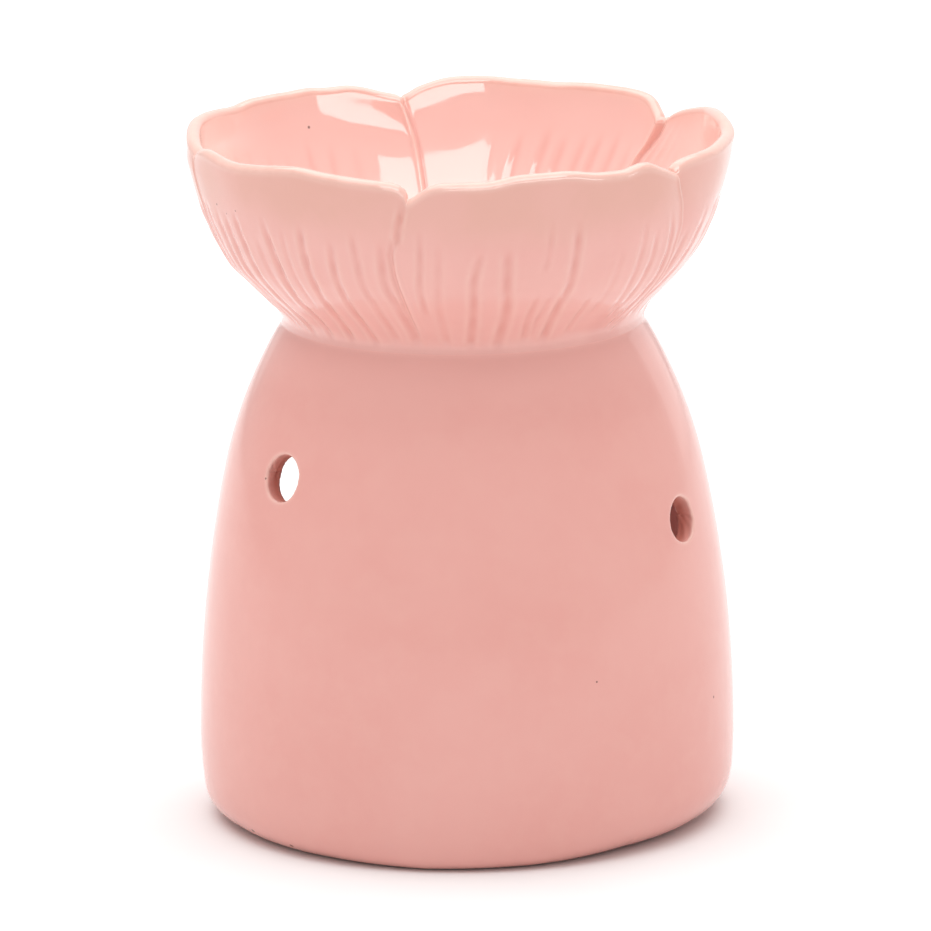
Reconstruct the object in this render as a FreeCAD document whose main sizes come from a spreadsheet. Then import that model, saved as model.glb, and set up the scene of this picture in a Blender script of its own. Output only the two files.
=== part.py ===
import FreeCAD, Part
import os
import math
from FreeCAD import Vector
import Sketcher

# Glazed earthenware wax warmer: a barrel-shaped burner body with a tealight
# arch and two vent holes, a five-petal flower bowl luted on top of it, and the
# tealight that stands inside and heats the bowl.
#
# Frame: origin at the centre of the foot ring on the table, +Z up, the
# tealight arch opens towards +Y. Millimetres.
# Angles round the axis are measured from -Y towards +X.

os.makedirs("parts", exist_ok=True)
doc = FreeCAD.newDocument("wax_warmer")

# --------------------------------------------------------------------------
# Driving dimensions
# --------------------------------------------------------------------------
sheet = doc.addObject("Spreadsheet::Sheet", "dims")
VALUES = [
    # burner body, outside
    ("foot_recess_z", 1.6), ("foot_recess_r", 36.0), ("foot_inner_r", 37.5),
    ("foot_outer_r", 42.85), ("heel_radius", 6.0), ("heel_top_r", 48.79),
    ("heel_top_z", 5.165), ("low_radius", 82.0), ("belly_r", 49.59),
    ("belly_z", 16.58), ("side_radius", 230.0), ("shoulder_r", 44.14),
    ("shoulder_z", 66.36), ("top_radius", 83.1), ("neck_r", 33.2),
    ("neck_z", 92.9),
    # burner body, inside
    ("wall", 3.2), ("floor_z", 5.5), ("floor_r", 42.52),
    ("floor_radius", 3.5), ("in_low_r", 46.02), ("in_low_z", 9.0),
    ("in_belly_r", 46.39), ("in_shoulder_r", 41.016),
    ("in_shoulder_z", 65.667), ("in_neck_r", 29.35),
    # tealight arch
    ("arch_half", 30.0), ("arch_side_z", 50.5), ("arch_corner_r", 20.0),
    ("arch_top_r", 40.0), ("arch_knee_x", 20.0), ("arch_knee_z", 67.82),
    ("arch_foot_r", 4.0), ("arch_depth", 60.0),
    # vent holes
    ("vent_one_r", 4.5), ("vent_one_ang", -61.3), ("vent_one_z", 69.1),
    ("vent_two_r", 4.3), ("vent_two_ang", 50.0), ("vent_two_z", 58.8),
    ("vent_len", 14.0),
    # flower bowl
    ("bowl_wall_lip", 2.8), ("bowl_wall_low", 3.6), ("bowl_floor_z", 97.0),
    ("bowl_floor_r", 17.0), ("notch_depth", 1.7),
    # tealight
    ("cup_floor", 0.3), ("cup_base_r", 17.9), ("cup_heel_r", 18.75),
    ("cup_heel_z", 0.8), ("cup_top_r", 19.0), ("cup_height", 16.0),
    ("cup_wall", 0.3), ("bead_r", 0.45), ("wax_level", 12.3),
    ("wick_r", 0.75), ("wick_top", 19.2), ("tab_r", 6.25), ("tab_t", 0.3),
    ("collar_r", 1.3), ("collar_top", 3.6),
]
for row, (name, value) in enumerate(VALUES, start=1):
    sheet.set("A%d" % row, name)
    sheet.set("B%d" % row, repr(value))
    sheet.setAlias("B%d" % row, name)
doc.recompute()
P = {name: float(sheet.get(name)) for name, _ in VALUES}


# --------------------------------------------------------------------------
# Helpers
# --------------------------------------------------------------------------
def plane(body, role):
    for feat in body.Origin.OriginFeatures:
        if feat.Role == role:
            return feat
    raise RuntimeError("no origin plane " + role)


def new_body(label):
    body = doc.addObject("PartDesign::Body", label)
    body.Label = label
    body.Placement = FreeCAD.Placement()
    return body


def new_sketch(body, name, role):
    sk = body.newObject("Sketcher::SketchObject", name)
    sk.AttachmentSupport = [(plane(body, role), "")]
    sk.MapMode = "FlatFace"
    return sk


def arc_between(p, q, radius, bulge):
    """Circle arc from p to q; bulge is a point on the outer side of the arc."""
    mid = (p + q) * 0.5
    half = (q - p).Length * 0.5
    n = Vector(-(q - p).y, (q - p).x, 0).normalize()
    if n.dot(bulge - mid) < 0:
        n = n * -1
    c = mid - n * math.sqrt(max(radius * radius - half * half, 0.0))
    a0 = math.atan2(p.y - c.y, p.x - c.x)
    a1 = math.atan2(q.y - c.y, q.x - c.x)
    am = math.atan2(mid.y + n.y - c.y, mid.x + n.x - c.x)
    top = c + Vector(math.cos(am), math.sin(am), 0) * radius
    arc = Part.Arc(p, top, q)
    return arc


def profile(sk, points, arcs):
    """Closed profile. points: [(x_expr, y_expr, x, y)], arcs: {i: (expr, radius,
    bulge)} for the edge from point i to point i + 1."""
    n = len(points)
    pts = [Vector(p[2], p[3], 0) for p in points]
    ends = []
    for i in range(n):
        p, q = pts[i], pts[(i + 1) % n]
        if i in arcs:
            expr, radius, bulge = arcs[i]
            tri = arc_between(p, q, radius, Vector(bulge[0], bulge[1], 0))
            circ = tri.toShape().Curve
            a0 = circ.parameter(p)
            a1 = circ.parameter(q)
            # sketch arcs run counter-clockwise about +Z
            up = Part.Circle(circ.Center, Vector(0, 0, 1), circ.Radius)
            u0, u1 = up.parameter(p), up.parameter(q)
            am = up.parameter(tri.toShape().valueAt(
                0.5 * sum(tri.toShape().ParameterRange)))
            ccw = (am - u0) % (2 * math.pi) < (u1 - u0) % (2 * math.pi)
            if ccw:
                geo = Part.ArcOfCircle(up, u0, u0 + (u1 - u0) % (2 * math.pi))
                ends.append((1, 2))
            else:
                geo = Part.ArcOfCircle(up, u1, u1 + (u0 - u1) % (2 * math.pi))
                ends.append((2, 1))
            sk.addGeometry(geo, False)
        else:
            sk.addGeometry(Part.LineSegment(p, q), False)
            ends.append((1, 2))
    for i in range(n):
        j = (i + 1) % n
        sk.addConstraint(Sketcher.Constraint(
            "Coincident", i, ends[i][1], j, ends[j][0]))
    for i in range(n):
        for kind, k in (("DistanceX", 0), ("DistanceY", 1)):
            value = points[i][2 + k]
            if abs(value) < 1e-9:
                other = -2 if kind == "DistanceX" else -1
                sk.addConstraint(Sketcher.Constraint(
                    "PointOnObject", i, ends[i][0], other))
                continue
            c = sk.addConstraint(Sketcher.Constraint(
                kind, -1, 1, i, ends[i][0], value))
            if points[i][k] is not None:
                sk.setExpression("Constraints[%d]" % c, points[i][k])
    for i, (expr, radius, bulge) in arcs.items():
        c = sk.addConstraint(Sketcher.Constraint("Radius", i, radius))
        if expr is not None:
            sk.setExpression("Constraints[%d]" % c, expr)


def revolve(body, sk, name):
    rev = body.newObject("PartDesign::Revolution", name)
    rev.Profile = sk
    rev.ReferenceAxis = (sk, ["V_Axis"])
    rev.Angle = 360.0
    sk.Visibility = False
    doc.recompute()
    return rev


# --------------------------------------------------------------------------
# burner_body: slip-cast barrel, open at the neck, arch and vents cut in it
# --------------------------------------------------------------------------
burner = new_body("burner_body")
sk = new_sketch(burner, "burner_outline", "XZ_Plane")
profile(sk, [
    (None, "dims.foot_recess_z", 0.0, P["foot_recess_z"]),
    ("dims.foot_recess_r", "dims.foot_recess_z", P["foot_recess_r"], P["foot_recess_z"]),
    ("dims.foot_inner_r", None, P["foot_inner_r"], 0.0),
    ("dims.foot_outer_r", None, P["foot_outer_r"], 0.0),
    ("dims.heel_top_r", "dims.heel_top_z", P["heel_top_r"], P["heel_top_z"]),
    ("dims.belly_r", "dims.belly_z", P["belly_r"], P["belly_z"]),
    ("dims.shoulder_r", "dims.shoulder_z", P["shoulder_r"], P["shoulder_z"]),
    ("dims.neck_r", "dims.neck_z", P["neck_r"], P["neck_z"]),
    (None, "dims.neck_z", 0.0, P["neck_z"]),
], {
    3: ("dims.heel_radius", P["heel_radius"], (60, 0)),
    4: ("dims.low_radius", P["low_radius"], (80, 10)),
    5: ("dims.side_radius", P["side_radius"], (80, 40)),
    6: ("dims.top_radius", P["top_radius"], (80, 90)),
})
revolve(burner, sk, "burner_solid")
vol_solid = burner.Shape.Volume

sk = new_sketch(burner, "cavity_outline", "XZ_Plane")
profile(sk, [
    (None, "dims.floor_z", 0.0, P["floor_z"]),
    ("dims.floor_r", "dims.floor_z", P["floor_r"], P["floor_z"]),
    ("dims.in_low_r", "dims.in_low_z", P["in_low_r"], P["in_low_z"]),
    ("dims.in_belly_r", "dims.belly_z", P["in_belly_r"], P["belly_z"]),
    ("dims.in_shoulder_r", "dims.in_shoulder_z", P["in_shoulder_r"], P["in_shoulder_z"]),
    ("dims.in_neck_r", "dims.neck_z", P["in_neck_r"], P["neck_z"]),
    (None, "dims.neck_z", 0.0, P["neck_z"]),
], {
    1: ("dims.floor_radius", P["floor_radius"], (60, 0)),
    2: ("dims.low_radius - dims.wall", P["low_radius"] - P["wall"], (80, 10)),
    3: ("dims.side_radius - dims.wall", P["side_radius"] - P["wall"], (80, 40)),
    4: ("dims.top_radius - dims.wall", P["top_radius"] - P["wall"], (80, 90)),
})
cavity = burner.newObject("PartDesign::Groove", "cavity")
cavity.Profile = sk
cavity.ReferenceAxis = (sk, ["V_Axis"])
cavity.Angle = 360.0
sk.Visibility = False
doc.recompute()
vol_hollow = burner.Shape.Volume
if not vol_hollow < 0.5 * vol_solid:
    raise RuntimeError("the cavity cut nothing")

# arch at the back: level sill, straight jambs, low rounded head
hx, sz = P["arch_half"], P["arch_side_z"]
kx, kz = P["arch_knee_x"], P["arch_knee_z"]
fz, fr = P["floor_z"], P["arch_foot_r"]
sk = new_sketch(burner, "arch_outline", "XZ_Plane")
profile(sk, [
    ("-(dims.arch_half - dims.arch_foot_r)", "dims.floor_z", -(hx - fr), fz),
    ("dims.arch_half - dims.arch_foot_r", "dims.floor_z", hx - fr, fz),
    ("dims.arch_half", "dims.floor_z + dims.arch_foot_r", hx, fz + fr),
    ("dims.arch_half", "dims.arch_side_z", hx, sz),
    ("dims.arch_knee_x", "dims.arch_knee_z", kx, kz),
    ("-dims.arch_knee_x", "dims.arch_knee_z", -kx, kz),
    ("-dims.arch_half", "dims.arch_side_z", -hx, sz),
    ("-dims.arch_half", "dims.floor_z + dims.arch_foot_r", -hx, fz + fr),
], {
    1: ("dims.arch_foot_r", fr, (hx + 5, fz - 5)),
    3: ("dims.arch_corner_r", P["arch_corner_r"], (hx + 20, sz + 30)),
    4: ("dims.arch_top_r", P["arch_top_r"], (0, 120)),
    5: ("dims.arch_corner_r", P["arch_corner_r"], (-hx - 20, sz + 30)),
    7: ("dims.arch_foot_r", fr, (-hx - 5, fz - 5)),
})
arch = burner.newObject("PartDesign::Pocket", "arch")
arch.Profile = sk
arch.Type = 0
arch.Length = P["arch_depth"]
arch.setExpression("Length", "dims.arch_depth")
sk.Visibility = False
doc.recompute()
if burner.Shape.CenterOfGravity.y > -1.0:
    arch.Reversed = True
    doc.recompute()
vol_arch = burner.Shape.Volume
if not (vol_arch < vol_hollow - 1000 and burner.Shape.CenterOfGravity.y < -1.0):
    raise RuntimeError("the arch was cut on the wrong side")


def wall_point(z):
    """Outside radius of the barrel at height z, and its outward normal."""
    if z > P["shoulder_z"]:
        rad, p, q, out = P["top_radius"], ("shoulder_r", "shoulder_z"), ("neck_r", "neck_z"), (80, 90)
    else:
        rad, p, q, out = P["side_radius"], ("belly_r", "belly_z"), ("shoulder_r", "shoulder_z"), (80, 40)
    a = Vector(P[p[0]], P[p[1]], 0)
    b = Vector(P[q[0]], P[q[1]], 0)
    mid = (a + b) * 0.5
    n = Vector(-(b - a).y, (b - a).x, 0).normalize()
    if n.dot(Vector(out[0], out[1], 0) - mid) < 0:
        n = n * -1
    c = mid - n * math.sqrt(rad * rad - (b - a).Length ** 2 / 4)
    r = c.x + math.sqrt(rad * rad - (z - c.y) ** 2)
    return r, Vector(r - c.x, z - c.y, 0).normalize()


for name in ("vent_one", "vent_two"):
    r, n = wall_point(P[name + "_z"])
    ang = math.radians(P[name + "_ang"])
    s, c = math.sin(ang), math.cos(ang)
    centre = Vector(r * s, -r * c, P[name + "_z"])
    way = Vector(n.x * s, -n.x * c, n.y)
    cut = burner.newObject("PartDesign::SubtractiveCylinder", name)
    cut.setExpression("Radius", "dims.%s_r" % name)
    cut.setExpression("Height", "dims.vent_len")
    cut.AttachmentSupport = [(plane(burner, "XY_Plane"), "")]
    cut.MapMode = "FlatFace"
    cut.AttachmentOffset = FreeCAD.Placement(
        centre - way * 8.0, FreeCAD.Rotation(Vector(0, 0, 1), way))
    before = burner.Shape.Volume
    doc.recompute()
    if not burner.Shape.Volume < before - 50:
        raise RuntimeError(name + " cut nothing")


# --------------------------------------------------------------------------
# flower_bowl: five petals round a dished bowl, one closed skin
# --------------------------------------------------------------------------
# outside radius against height, mean of the petals
BOWL = [(92.9, 33.2), (95.2, 34.3), (97.3, 35.9), (99.3, 37.8), (101.1, 39.4),
        (102.9, 41.0), (104.6, 42.4), (106.3, 43.6), (108.0, 44.6),
        (109.7, 45.5), (111.5, 46.3), (113.1, 47.0), (114.9, 47.7),
        (116.9, 48.3), (118.6, 48.8), (120.4, 49.2), (122.1, 49.5),
        (123.9, 49.7), (125.6, 49.85), (127.3, 50.05), (129.5, 50.2)]
# rim height round the bowl: angle, top of the lip
RIM = [(-82, 127.0), (-77, 127.6), (-67, 127.2), (-59, 128.0), (-49, 128.7),
       (-41, 128.2), (-32, 127.7), (-26.5, 127.0), (-21.7, 124.8),
       (-17, 127.0), (-7, 127.4), (2, 128.5), (11, 128.6), (21, 127.6),
       (29, 128.1), (35.5, 127.2), (41, 124.9), (47.5, 127.0), (57, 127.4),
       (68, 127.9), (81, 128.6), (94, 128.9), (104, 128.0), (109.5, 126.7),
       (115, 124.7), (120.5, 127.2), (130, 128.4), (140, 128.7),
       (155, 128.7), (168, 128.5), (176.5, 126.8), (182, 125.0),
       (188, 127.2), (203, 128.6), (217, 128.7), (227, 128.2), (246, 128.7),
       (259, 128.2), (268, 127.0), (273.5, 124.9)]
# petal boundaries: angle at rim height, angle low down; side of the step:
# +1 the petal at larger angle lies over, -1 the one at smaller angle, 0 valley
EDGES = [(-86.5, -89.0, +1), (-21.5, -26.0, 0), (40.5, 47.5, -1),
         (114.5, 118.0, -1), (181.5, 178.0, -1)]


def interp(table, x):
    if x <= table[0][0]:
        return table[0][1]
    for (x0, y0), (x1, y1) in zip(table, table[1:]):
        if x <= x1:
            f = (x - x0) / (x1 - x0)
            f = f * f * (3 - 2 * f) * 0.5 + f * 0.5
            return y0 + (y1 - y0) * f
    return table[-1][1]


def line(table, x):
    if x <= table[0][0]:
        return table[0][1]
    for (x0, y0), (x1, y1) in zip(table, table[1:]):
        if x <= x1:
            return y0 + (y1 - y0) * (x - x0) / (x1 - x0)
    return table[-1][1]


RIM_LOOP = [(a - 360, z) for a, z in RIM] + RIM + [(a + 360, z) for a, z in RIM]


def wrap(a):
    return (a + 180.0) % 360.0 - 180.0


def outer_radius(ang, z):
    """Outside of the bowl: petals bulge between their edges."""
    base = line(BOWL, z)
    rise = min(max((z - 93.5) / 24.0, 0.0), 1.0)
    low = min(max((125.0 - z) / 13.0, 0.0), 1.0)
    dr = 0.0
    for rim_ang, low_ang, side in EDGES:
        edge = rim_ang + (low_ang - rim_ang) * low
        d = wrap(ang - edge) * math.pi / 180.0 * base      # mm along the skin
        valley = P["notch_depth"] * math.exp(-(d / 5.0) ** 2)
        if side == 0:
            dr -= rise * valley
        else:
            under = 1.0 / (1.0 + math.exp(side * d / 0.9))  # 1 on the lower petal
            dr -= rise * (0.35 * valley + under * 1.35 * math.exp(-abs(d) / 9.0))
    return base + dr


def section(ang):
    """Skin of the bowl at one angle, from the foot over the lip to the floor:
    list of (radius, height)."""
    top = interp(RIM_LOOP, ang)
    lip = P["bowl_wall_lip"] / 2
    z0, z1 = P["neck_z"], top - lip
    pts = []
    n_out = 17
    for i in range(n_out):
        f = i / (n_out - 1.0)
        z = z0 + (z1 - z0) * (f ** 1.08)
        pts.append((outer_radius(ang, z), z))
    r1 = pts[-1][0]
    # round lip
    for a in (22, 50, 78, 102, 130, 158):
        t = math.radians(a)
        pts.append((r1 - lip + lip * math.cos(t) * 1.04, z1 + lip * math.sin(t) * 1.06))
    # inside wall, parallel to the outside
    zf = P["bowl_floor_z"]
    n_in = 13
    for i in range(n_in):
        f = i / (n_in - 1.0)
        z = z1 + (zf + 3.2 - z1) * f
        grow = min(max((z1 - z) / 26.0, 0.0), 1.0)
        wall = P["bowl_wall_lip"] + (P["bowl_wall_low"] - P["bowl_wall_lip"]) * grow
        slope = (outer_radius(ang, z + 0.5) - outer_radius(ang, max(z - 0.5, 93.0))) / (
            z + 0.5 - max(z - 0.5, 93.0))
        pts.append((outer_radius(ang, z) - wall * math.sqrt(1 + slope * slope), z))
    # dished floor, level at the middle
    r_in = pts[-1][0]
    rf = P["bowl_floor_r"]
    for f, dz in ((0.25, 1.75), (0.5, 0.75), (0.72, 0.2), (0.88, 0.0), (1.0, 0.0)):
        pts.append((r_in + (rf - r_in) * f, zf + dz))
    return pts


N_ANG = 168
rows = [section(360.0 * k / N_ANG - 180.0) for k in range(N_ANG)]
n_prof = len(rows[0])
foot_r, floor_r = P["neck_r"], P["bowl_floor_r"]
poles = []
for k, row in enumerate(rows):
    a = math.radians(360.0 * k / N_ANG - 180.0)
    row[0] = (foot_r, P["neck_z"])
    row[-1] = (floor_r, P["bowl_floor_z"])
    poles.append([Vector(r * math.sin(a), -r * math.cos(a), z) for r, z in row])
deg = 3
v_knots = [float(i) for i in range(n_prof - deg + 1)]
v_mults = [deg + 1] + [1] * (len(v_knots) - 2) + [deg + 1]
u_knots = [float(i) for i in range(N_ANG + 1)]
u_mults = [1] * (N_ANG + 1)
skin = Part.BSplineSurface()
skin.buildFromPolesMultsKnots(poles, u_mults, v_mults, u_knots, v_knots,
                              True, False, deg, deg)
skin_face = skin.toShape()
rings = sorted([e for e in skin_face.Edges if e.isClosed()],
               key=lambda e: e.BoundBox.ZMin)
foot_face = Part.Face(Part.Wire([rings[0]]))
floor_face = Part.Face(Part.Wire([
    [e for e in rings if abs(e.BoundBox.ZMax - P["bowl_floor_z"]) < 1e-4
     and abs(e.BoundBox.ZMin - P["bowl_floor_z"]) < 1e-4][0]]))
shell = Part.makeShell([skin_face, foot_face, floor_face])
shell.sewShape()
solid = Part.Solid(shell)
if solid.Volume < 0:
    solid.reverse()
bowl = doc.addObject("Part::Feature", "flower_bowl")
bowl.Label = "flower_bowl"
bowl.Shape = solid
bowl.Placement = FreeCAD.Placement()


# --------------------------------------------------------------------------
# tealight: drawn aluminium cup, wax, wick, and the tab that holds the wick
# --------------------------------------------------------------------------
z0 = P["floor_z"]
cup = new_body("tealight_cup")
sk = new_sketch(cup, "cup_outline", "XZ_Plane")
ct, cw, hh = P["cup_top_r"], P["cup_wall"], P["cup_height"]
bz = hh - P["bead_r"] * 2
profile(sk, [
    (None, "dims.floor_z", 0.0, z0),
    ("dims.cup_base_r", "dims.floor_z", P["cup_base_r"], z0),
    ("dims.cup_heel_r", "dims.floor_z + dims.cup_heel_z", P["cup_heel_r"], z0 + P["cup_heel_z"]),
    ("dims.cup_top_r", "dims.floor_z + dims.cup_height - 2 * dims.bead_r", ct, z0 + bz),
    ("dims.cup_top_r", "dims.floor_z + dims.cup_height", ct, z0 + hh),
    ("dims.cup_top_r - dims.cup_wall", "dims.floor_z + dims.cup_height", ct - cw, z0 + hh),
    ("dims.cup_heel_r - dims.cup_wall", "dims.floor_z + dims.cup_heel_z + 0.2", P["cup_heel_r"] - cw, z0 + P["cup_heel_z"] + 0.2),
    ("dims.cup_base_r - 0.1", "dims.floor_z + dims.cup_floor", P["cup_base_r"] - 0.1, z0 + P["cup_floor"]),
    (None, "dims.floor_z + dims.cup_floor", 0.0, z0 + P["cup_floor"]),
], {
    3: ("dims.bead_r", P["bead_r"] + 1e-4, (ct + 10, z0 + hh - P["bead_r"])),
})
revolve(cup, sk, "cup_shell")

tab = new_body("wick_sustainer")
sk = new_sketch(tab, "tab_outline", "XZ_Plane")
zb = z0 + P["cup_floor"]
profile(sk, [
    ("dims.wick_r", "dims.floor_z + dims.cup_floor", P["wick_r"], zb),
    ("dims.tab_r", "dims.floor_z + dims.cup_floor", P["tab_r"], zb),
    ("dims.tab_r", "dims.floor_z + dims.cup_floor + dims.tab_t", P["tab_r"], zb + P["tab_t"]),
    ("dims.collar_r", "dims.floor_z + dims.cup_floor + dims.tab_t", P["collar_r"], zb + P["tab_t"]),
    ("dims.collar_r", "dims.floor_z + dims.collar_top", P["collar_r"], z0 + P["collar_top"]),
    ("dims.wick_r", "dims.floor_z + dims.collar_top", P["wick_r"], z0 + P["collar_top"]),
], {})
revolve(tab, sk, "tab_disc")

wax = new_body("tealight_wax")
sk = new_sketch(wax, "wax_outline", "XZ_Plane")
# the wall of the wax follows the inside of the cup
f_wax = (P["wax_level"] - P["cup_heel_z"] - 0.2) / (hh - P["cup_heel_z"] - 0.2)
wax_r = P["cup_heel_r"] - cw + (ct - P["cup_heel_r"]) * f_wax
profile(sk, [
    ("dims.tab_r", "dims.floor_z + dims.cup_floor", P["tab_r"], zb),
    ("dims.cup_base_r - 0.1", "dims.floor_z + dims.cup_floor", P["cup_base_r"] - 0.1, zb),
    ("dims.cup_heel_r - dims.cup_wall", "dims.floor_z + dims.cup_heel_z + 0.2", P["cup_heel_r"] - cw, z0 + P["cup_heel_z"] + 0.2),
    ("dims.cup_heel_r - dims.cup_wall + (dims.cup_top_r - dims.cup_heel_r) * (dims.wax_level - dims.cup_heel_z - 0.2) / (dims.cup_height - dims.cup_heel_z - 0.2)",
     "dims.floor_z + dims.wax_level", wax_r, z0 + P["wax_level"]),
    ("dims.cup_top_r - 2.4", "dims.floor_z + dims.wax_level - 0.5", ct - 2.4, z0 + P["wax_level"] - 0.5),
    ("dims.wick_r", "dims.floor_z + dims.wax_level - 0.5", P["wick_r"], z0 + P["wax_level"] - 0.5),
    ("dims.wick_r", "dims.floor_z + dims.collar_top", P["wick_r"], z0 + P["collar_top"]),
    ("dims.collar_r", "dims.floor_z + dims.collar_top", P["collar_r"], z0 + P["collar_top"]),
    ("dims.collar_r", "dims.floor_z + dims.cup_floor + dims.tab_t", P["collar_r"], zb + P["tab_t"]),
    ("dims.tab_r", "dims.floor_z + dims.cup_floor + dims.tab_t", P["tab_r"], zb + P["tab_t"]),
], {})
revolve(wax, sk, "wax_fill")

wick = new_body("wick")
sk = new_sketch(wick, "wick_outline", "XZ_Plane")
profile(sk, [
    (None, "dims.floor_z + dims.cup_floor", 0.0, zb),
    ("dims.wick_r", "dims.floor_z + dims.cup_floor", P["wick_r"], zb),
    ("dims.wick_r", "dims.floor_z + dims.wick_top - 0.5", P["wick_r"], z0 + P["wick_top"] - 0.5),
    ("0.5 * dims.wick_r", "dims.floor_z + dims.wick_top", 0.5 * P["wick_r"], z0 + P["wick_top"]),
    (None, "dims.floor_z + dims.wick_top", 0.0, z0 + P["wick_top"]),
], {})
revolve(wick, sk, "wick_cord")

doc.recompute()

# --------------------------------------------------------------------------
# Check and write
# --------------------------------------------------------------------------
for obj in doc.Objects:
    if "Invalid" in obj.State or "Error" in obj.State:
        raise RuntimeError("%s is in state %s" % (obj.Name, obj.State))
NODES = [burner, bowl, cup, tab, wax, wick]
for obj in NODES:
    shape = obj.Shape
    if shape.isNull() or not shape.isValid() or len(shape.Solids) != 1:
        raise RuntimeError("%s has no valid single solid" % obj.Label)
for obj in NODES:
    obj.Shape.exportStep("parts/%s.step" % obj.Label)
    bb = obj.Shape.BoundBox
    print("%-16s vol %9.1f  x %.2f %.2f  y %.2f %.2f  z %.2f %.2f" % (
        obj.Label, obj.Shape.Volume, bb.XMin, bb.XMax, bb.YMin, bb.YMax, bb.ZMin, bb.ZMax))
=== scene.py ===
import math

import bpy
import numpy as np
from mathutils import Matrix, Vector


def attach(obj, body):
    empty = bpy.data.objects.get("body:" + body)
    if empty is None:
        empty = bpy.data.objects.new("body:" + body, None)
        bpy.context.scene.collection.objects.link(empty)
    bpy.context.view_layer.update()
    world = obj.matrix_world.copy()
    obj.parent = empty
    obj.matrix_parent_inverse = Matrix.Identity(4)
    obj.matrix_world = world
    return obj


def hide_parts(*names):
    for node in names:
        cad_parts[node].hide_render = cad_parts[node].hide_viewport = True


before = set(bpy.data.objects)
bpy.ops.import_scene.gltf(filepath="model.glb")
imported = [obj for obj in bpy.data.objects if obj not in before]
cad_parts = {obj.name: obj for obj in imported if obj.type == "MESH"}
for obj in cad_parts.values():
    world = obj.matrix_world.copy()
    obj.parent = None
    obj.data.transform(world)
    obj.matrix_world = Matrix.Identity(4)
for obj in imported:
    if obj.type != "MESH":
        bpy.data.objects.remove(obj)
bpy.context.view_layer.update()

MM = 0.001
RNG = np.random.default_rng(7)

# ---------------------------------------------------------------------------
# Helpers
# ---------------------------------------------------------------------------


def sstep(x, a, b):
    t = np.clip((x - a) / (b - a), 0.0, 1.0)
    return t * t * (3.0 - 2.0 * t)


def curve(xs, ys, x):
    """Monotone cubic through the points, flat outside them."""
    xs, ys = np.asarray(xs, float), np.asarray(ys, float)
    h = np.diff(xs)
    d = np.diff(ys) / h
    m = np.zeros(len(xs))
    m[1:-1] = np.where(d[:-1] * d[1:] > 0,
                       2 * d[:-1] * d[1:] / np.where(d[:-1] + d[1:] == 0, 1, d[:-1] + d[1:]), 0.0)
    m[0], m[-1] = d[0], d[-1]
    x = np.clip(np.asarray(x, float), xs[0], xs[-1])
    i = np.clip(np.searchsorted(xs, x) - 1, 0, len(h) - 1)
    t = (x - xs[i]) / h[i]
    t2, t3 = t * t, t * t * t
    return ((2 * t3 - 3 * t2 + 1) * ys[i] + (t3 - 2 * t2 + t) * h[i] * m[i]
            + (-2 * t3 + 3 * t2) * ys[i + 1] + (t3 - t2) * h[i] * m[i + 1])


def wrap(a):
    return (np.asarray(a) + 180.0) % 360.0 - 180.0


def mesh_piece(name, co, quads, tris=None, attrs=None, normals=None, sharp_ring=None):
    """Mesh object from millimetre coordinates."""
    me = bpy.data.meshes.new(name)
    quads = np.asarray(quads, np.int32).reshape(-1, 4)
    tris = np.zeros((0, 3), np.int32) if tris is None else np.asarray(tris, np.int32).reshape(-1, 3)
    nq, nt = len(quads), len(tris)
    me.vertices.add(len(co))
    me.vertices.foreach_set("co", (np.asarray(co) * MM).astype(np.float32).ravel())
    loops = np.concatenate([quads.ravel(), tris.ravel()]).astype(np.int32)
    me.loops.add(len(loops))
    me.loops.foreach_set("vertex_index", loops)
    me.polygons.add(nq + nt)
    starts = np.concatenate([np.arange(nq) * 4, nq * 4 + np.arange(nt) * 3]).astype(np.int32)
    me.polygons.foreach_set("loop_start", starts)
    me.polygons.foreach_set("use_smooth", np.ones(nq + nt, bool))
    me.update(calc_edges=True)
    if me.validate():
        raise RuntimeError(name + ": the mesh had to be repaired")
    for key, val in (attrs or {}).items():
        a = me.attributes.new(key, "FLOAT", "POINT")
        a.data.foreach_set("value", np.asarray(val, np.float32).ravel())
    if sharp_ring is not None:
        ev = np.zeros(len(me.edges) * 2, np.int32)
        me.edges.foreach_get("vertices", ev)
        ev = ev.reshape(-1, 2)
        flag = np.zeros(len(me.edges), bool)
        for ring in sharp_ring:
            inside = np.zeros(len(co), bool)
            inside[ring] = True
            flag |= inside[ev[:, 0]] & inside[ev[:, 1]]
        me.edges.foreach_set("use_edge_sharp", flag)
    if normals is not None:
        me.normals_split_custom_set_from_vertices(np.asarray(normals, np.float32))
    me.update()
    ob = bpy.data.objects.new(name, me)
    bpy.context.scene.collection.objects.link(ob)
    return ob


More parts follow.
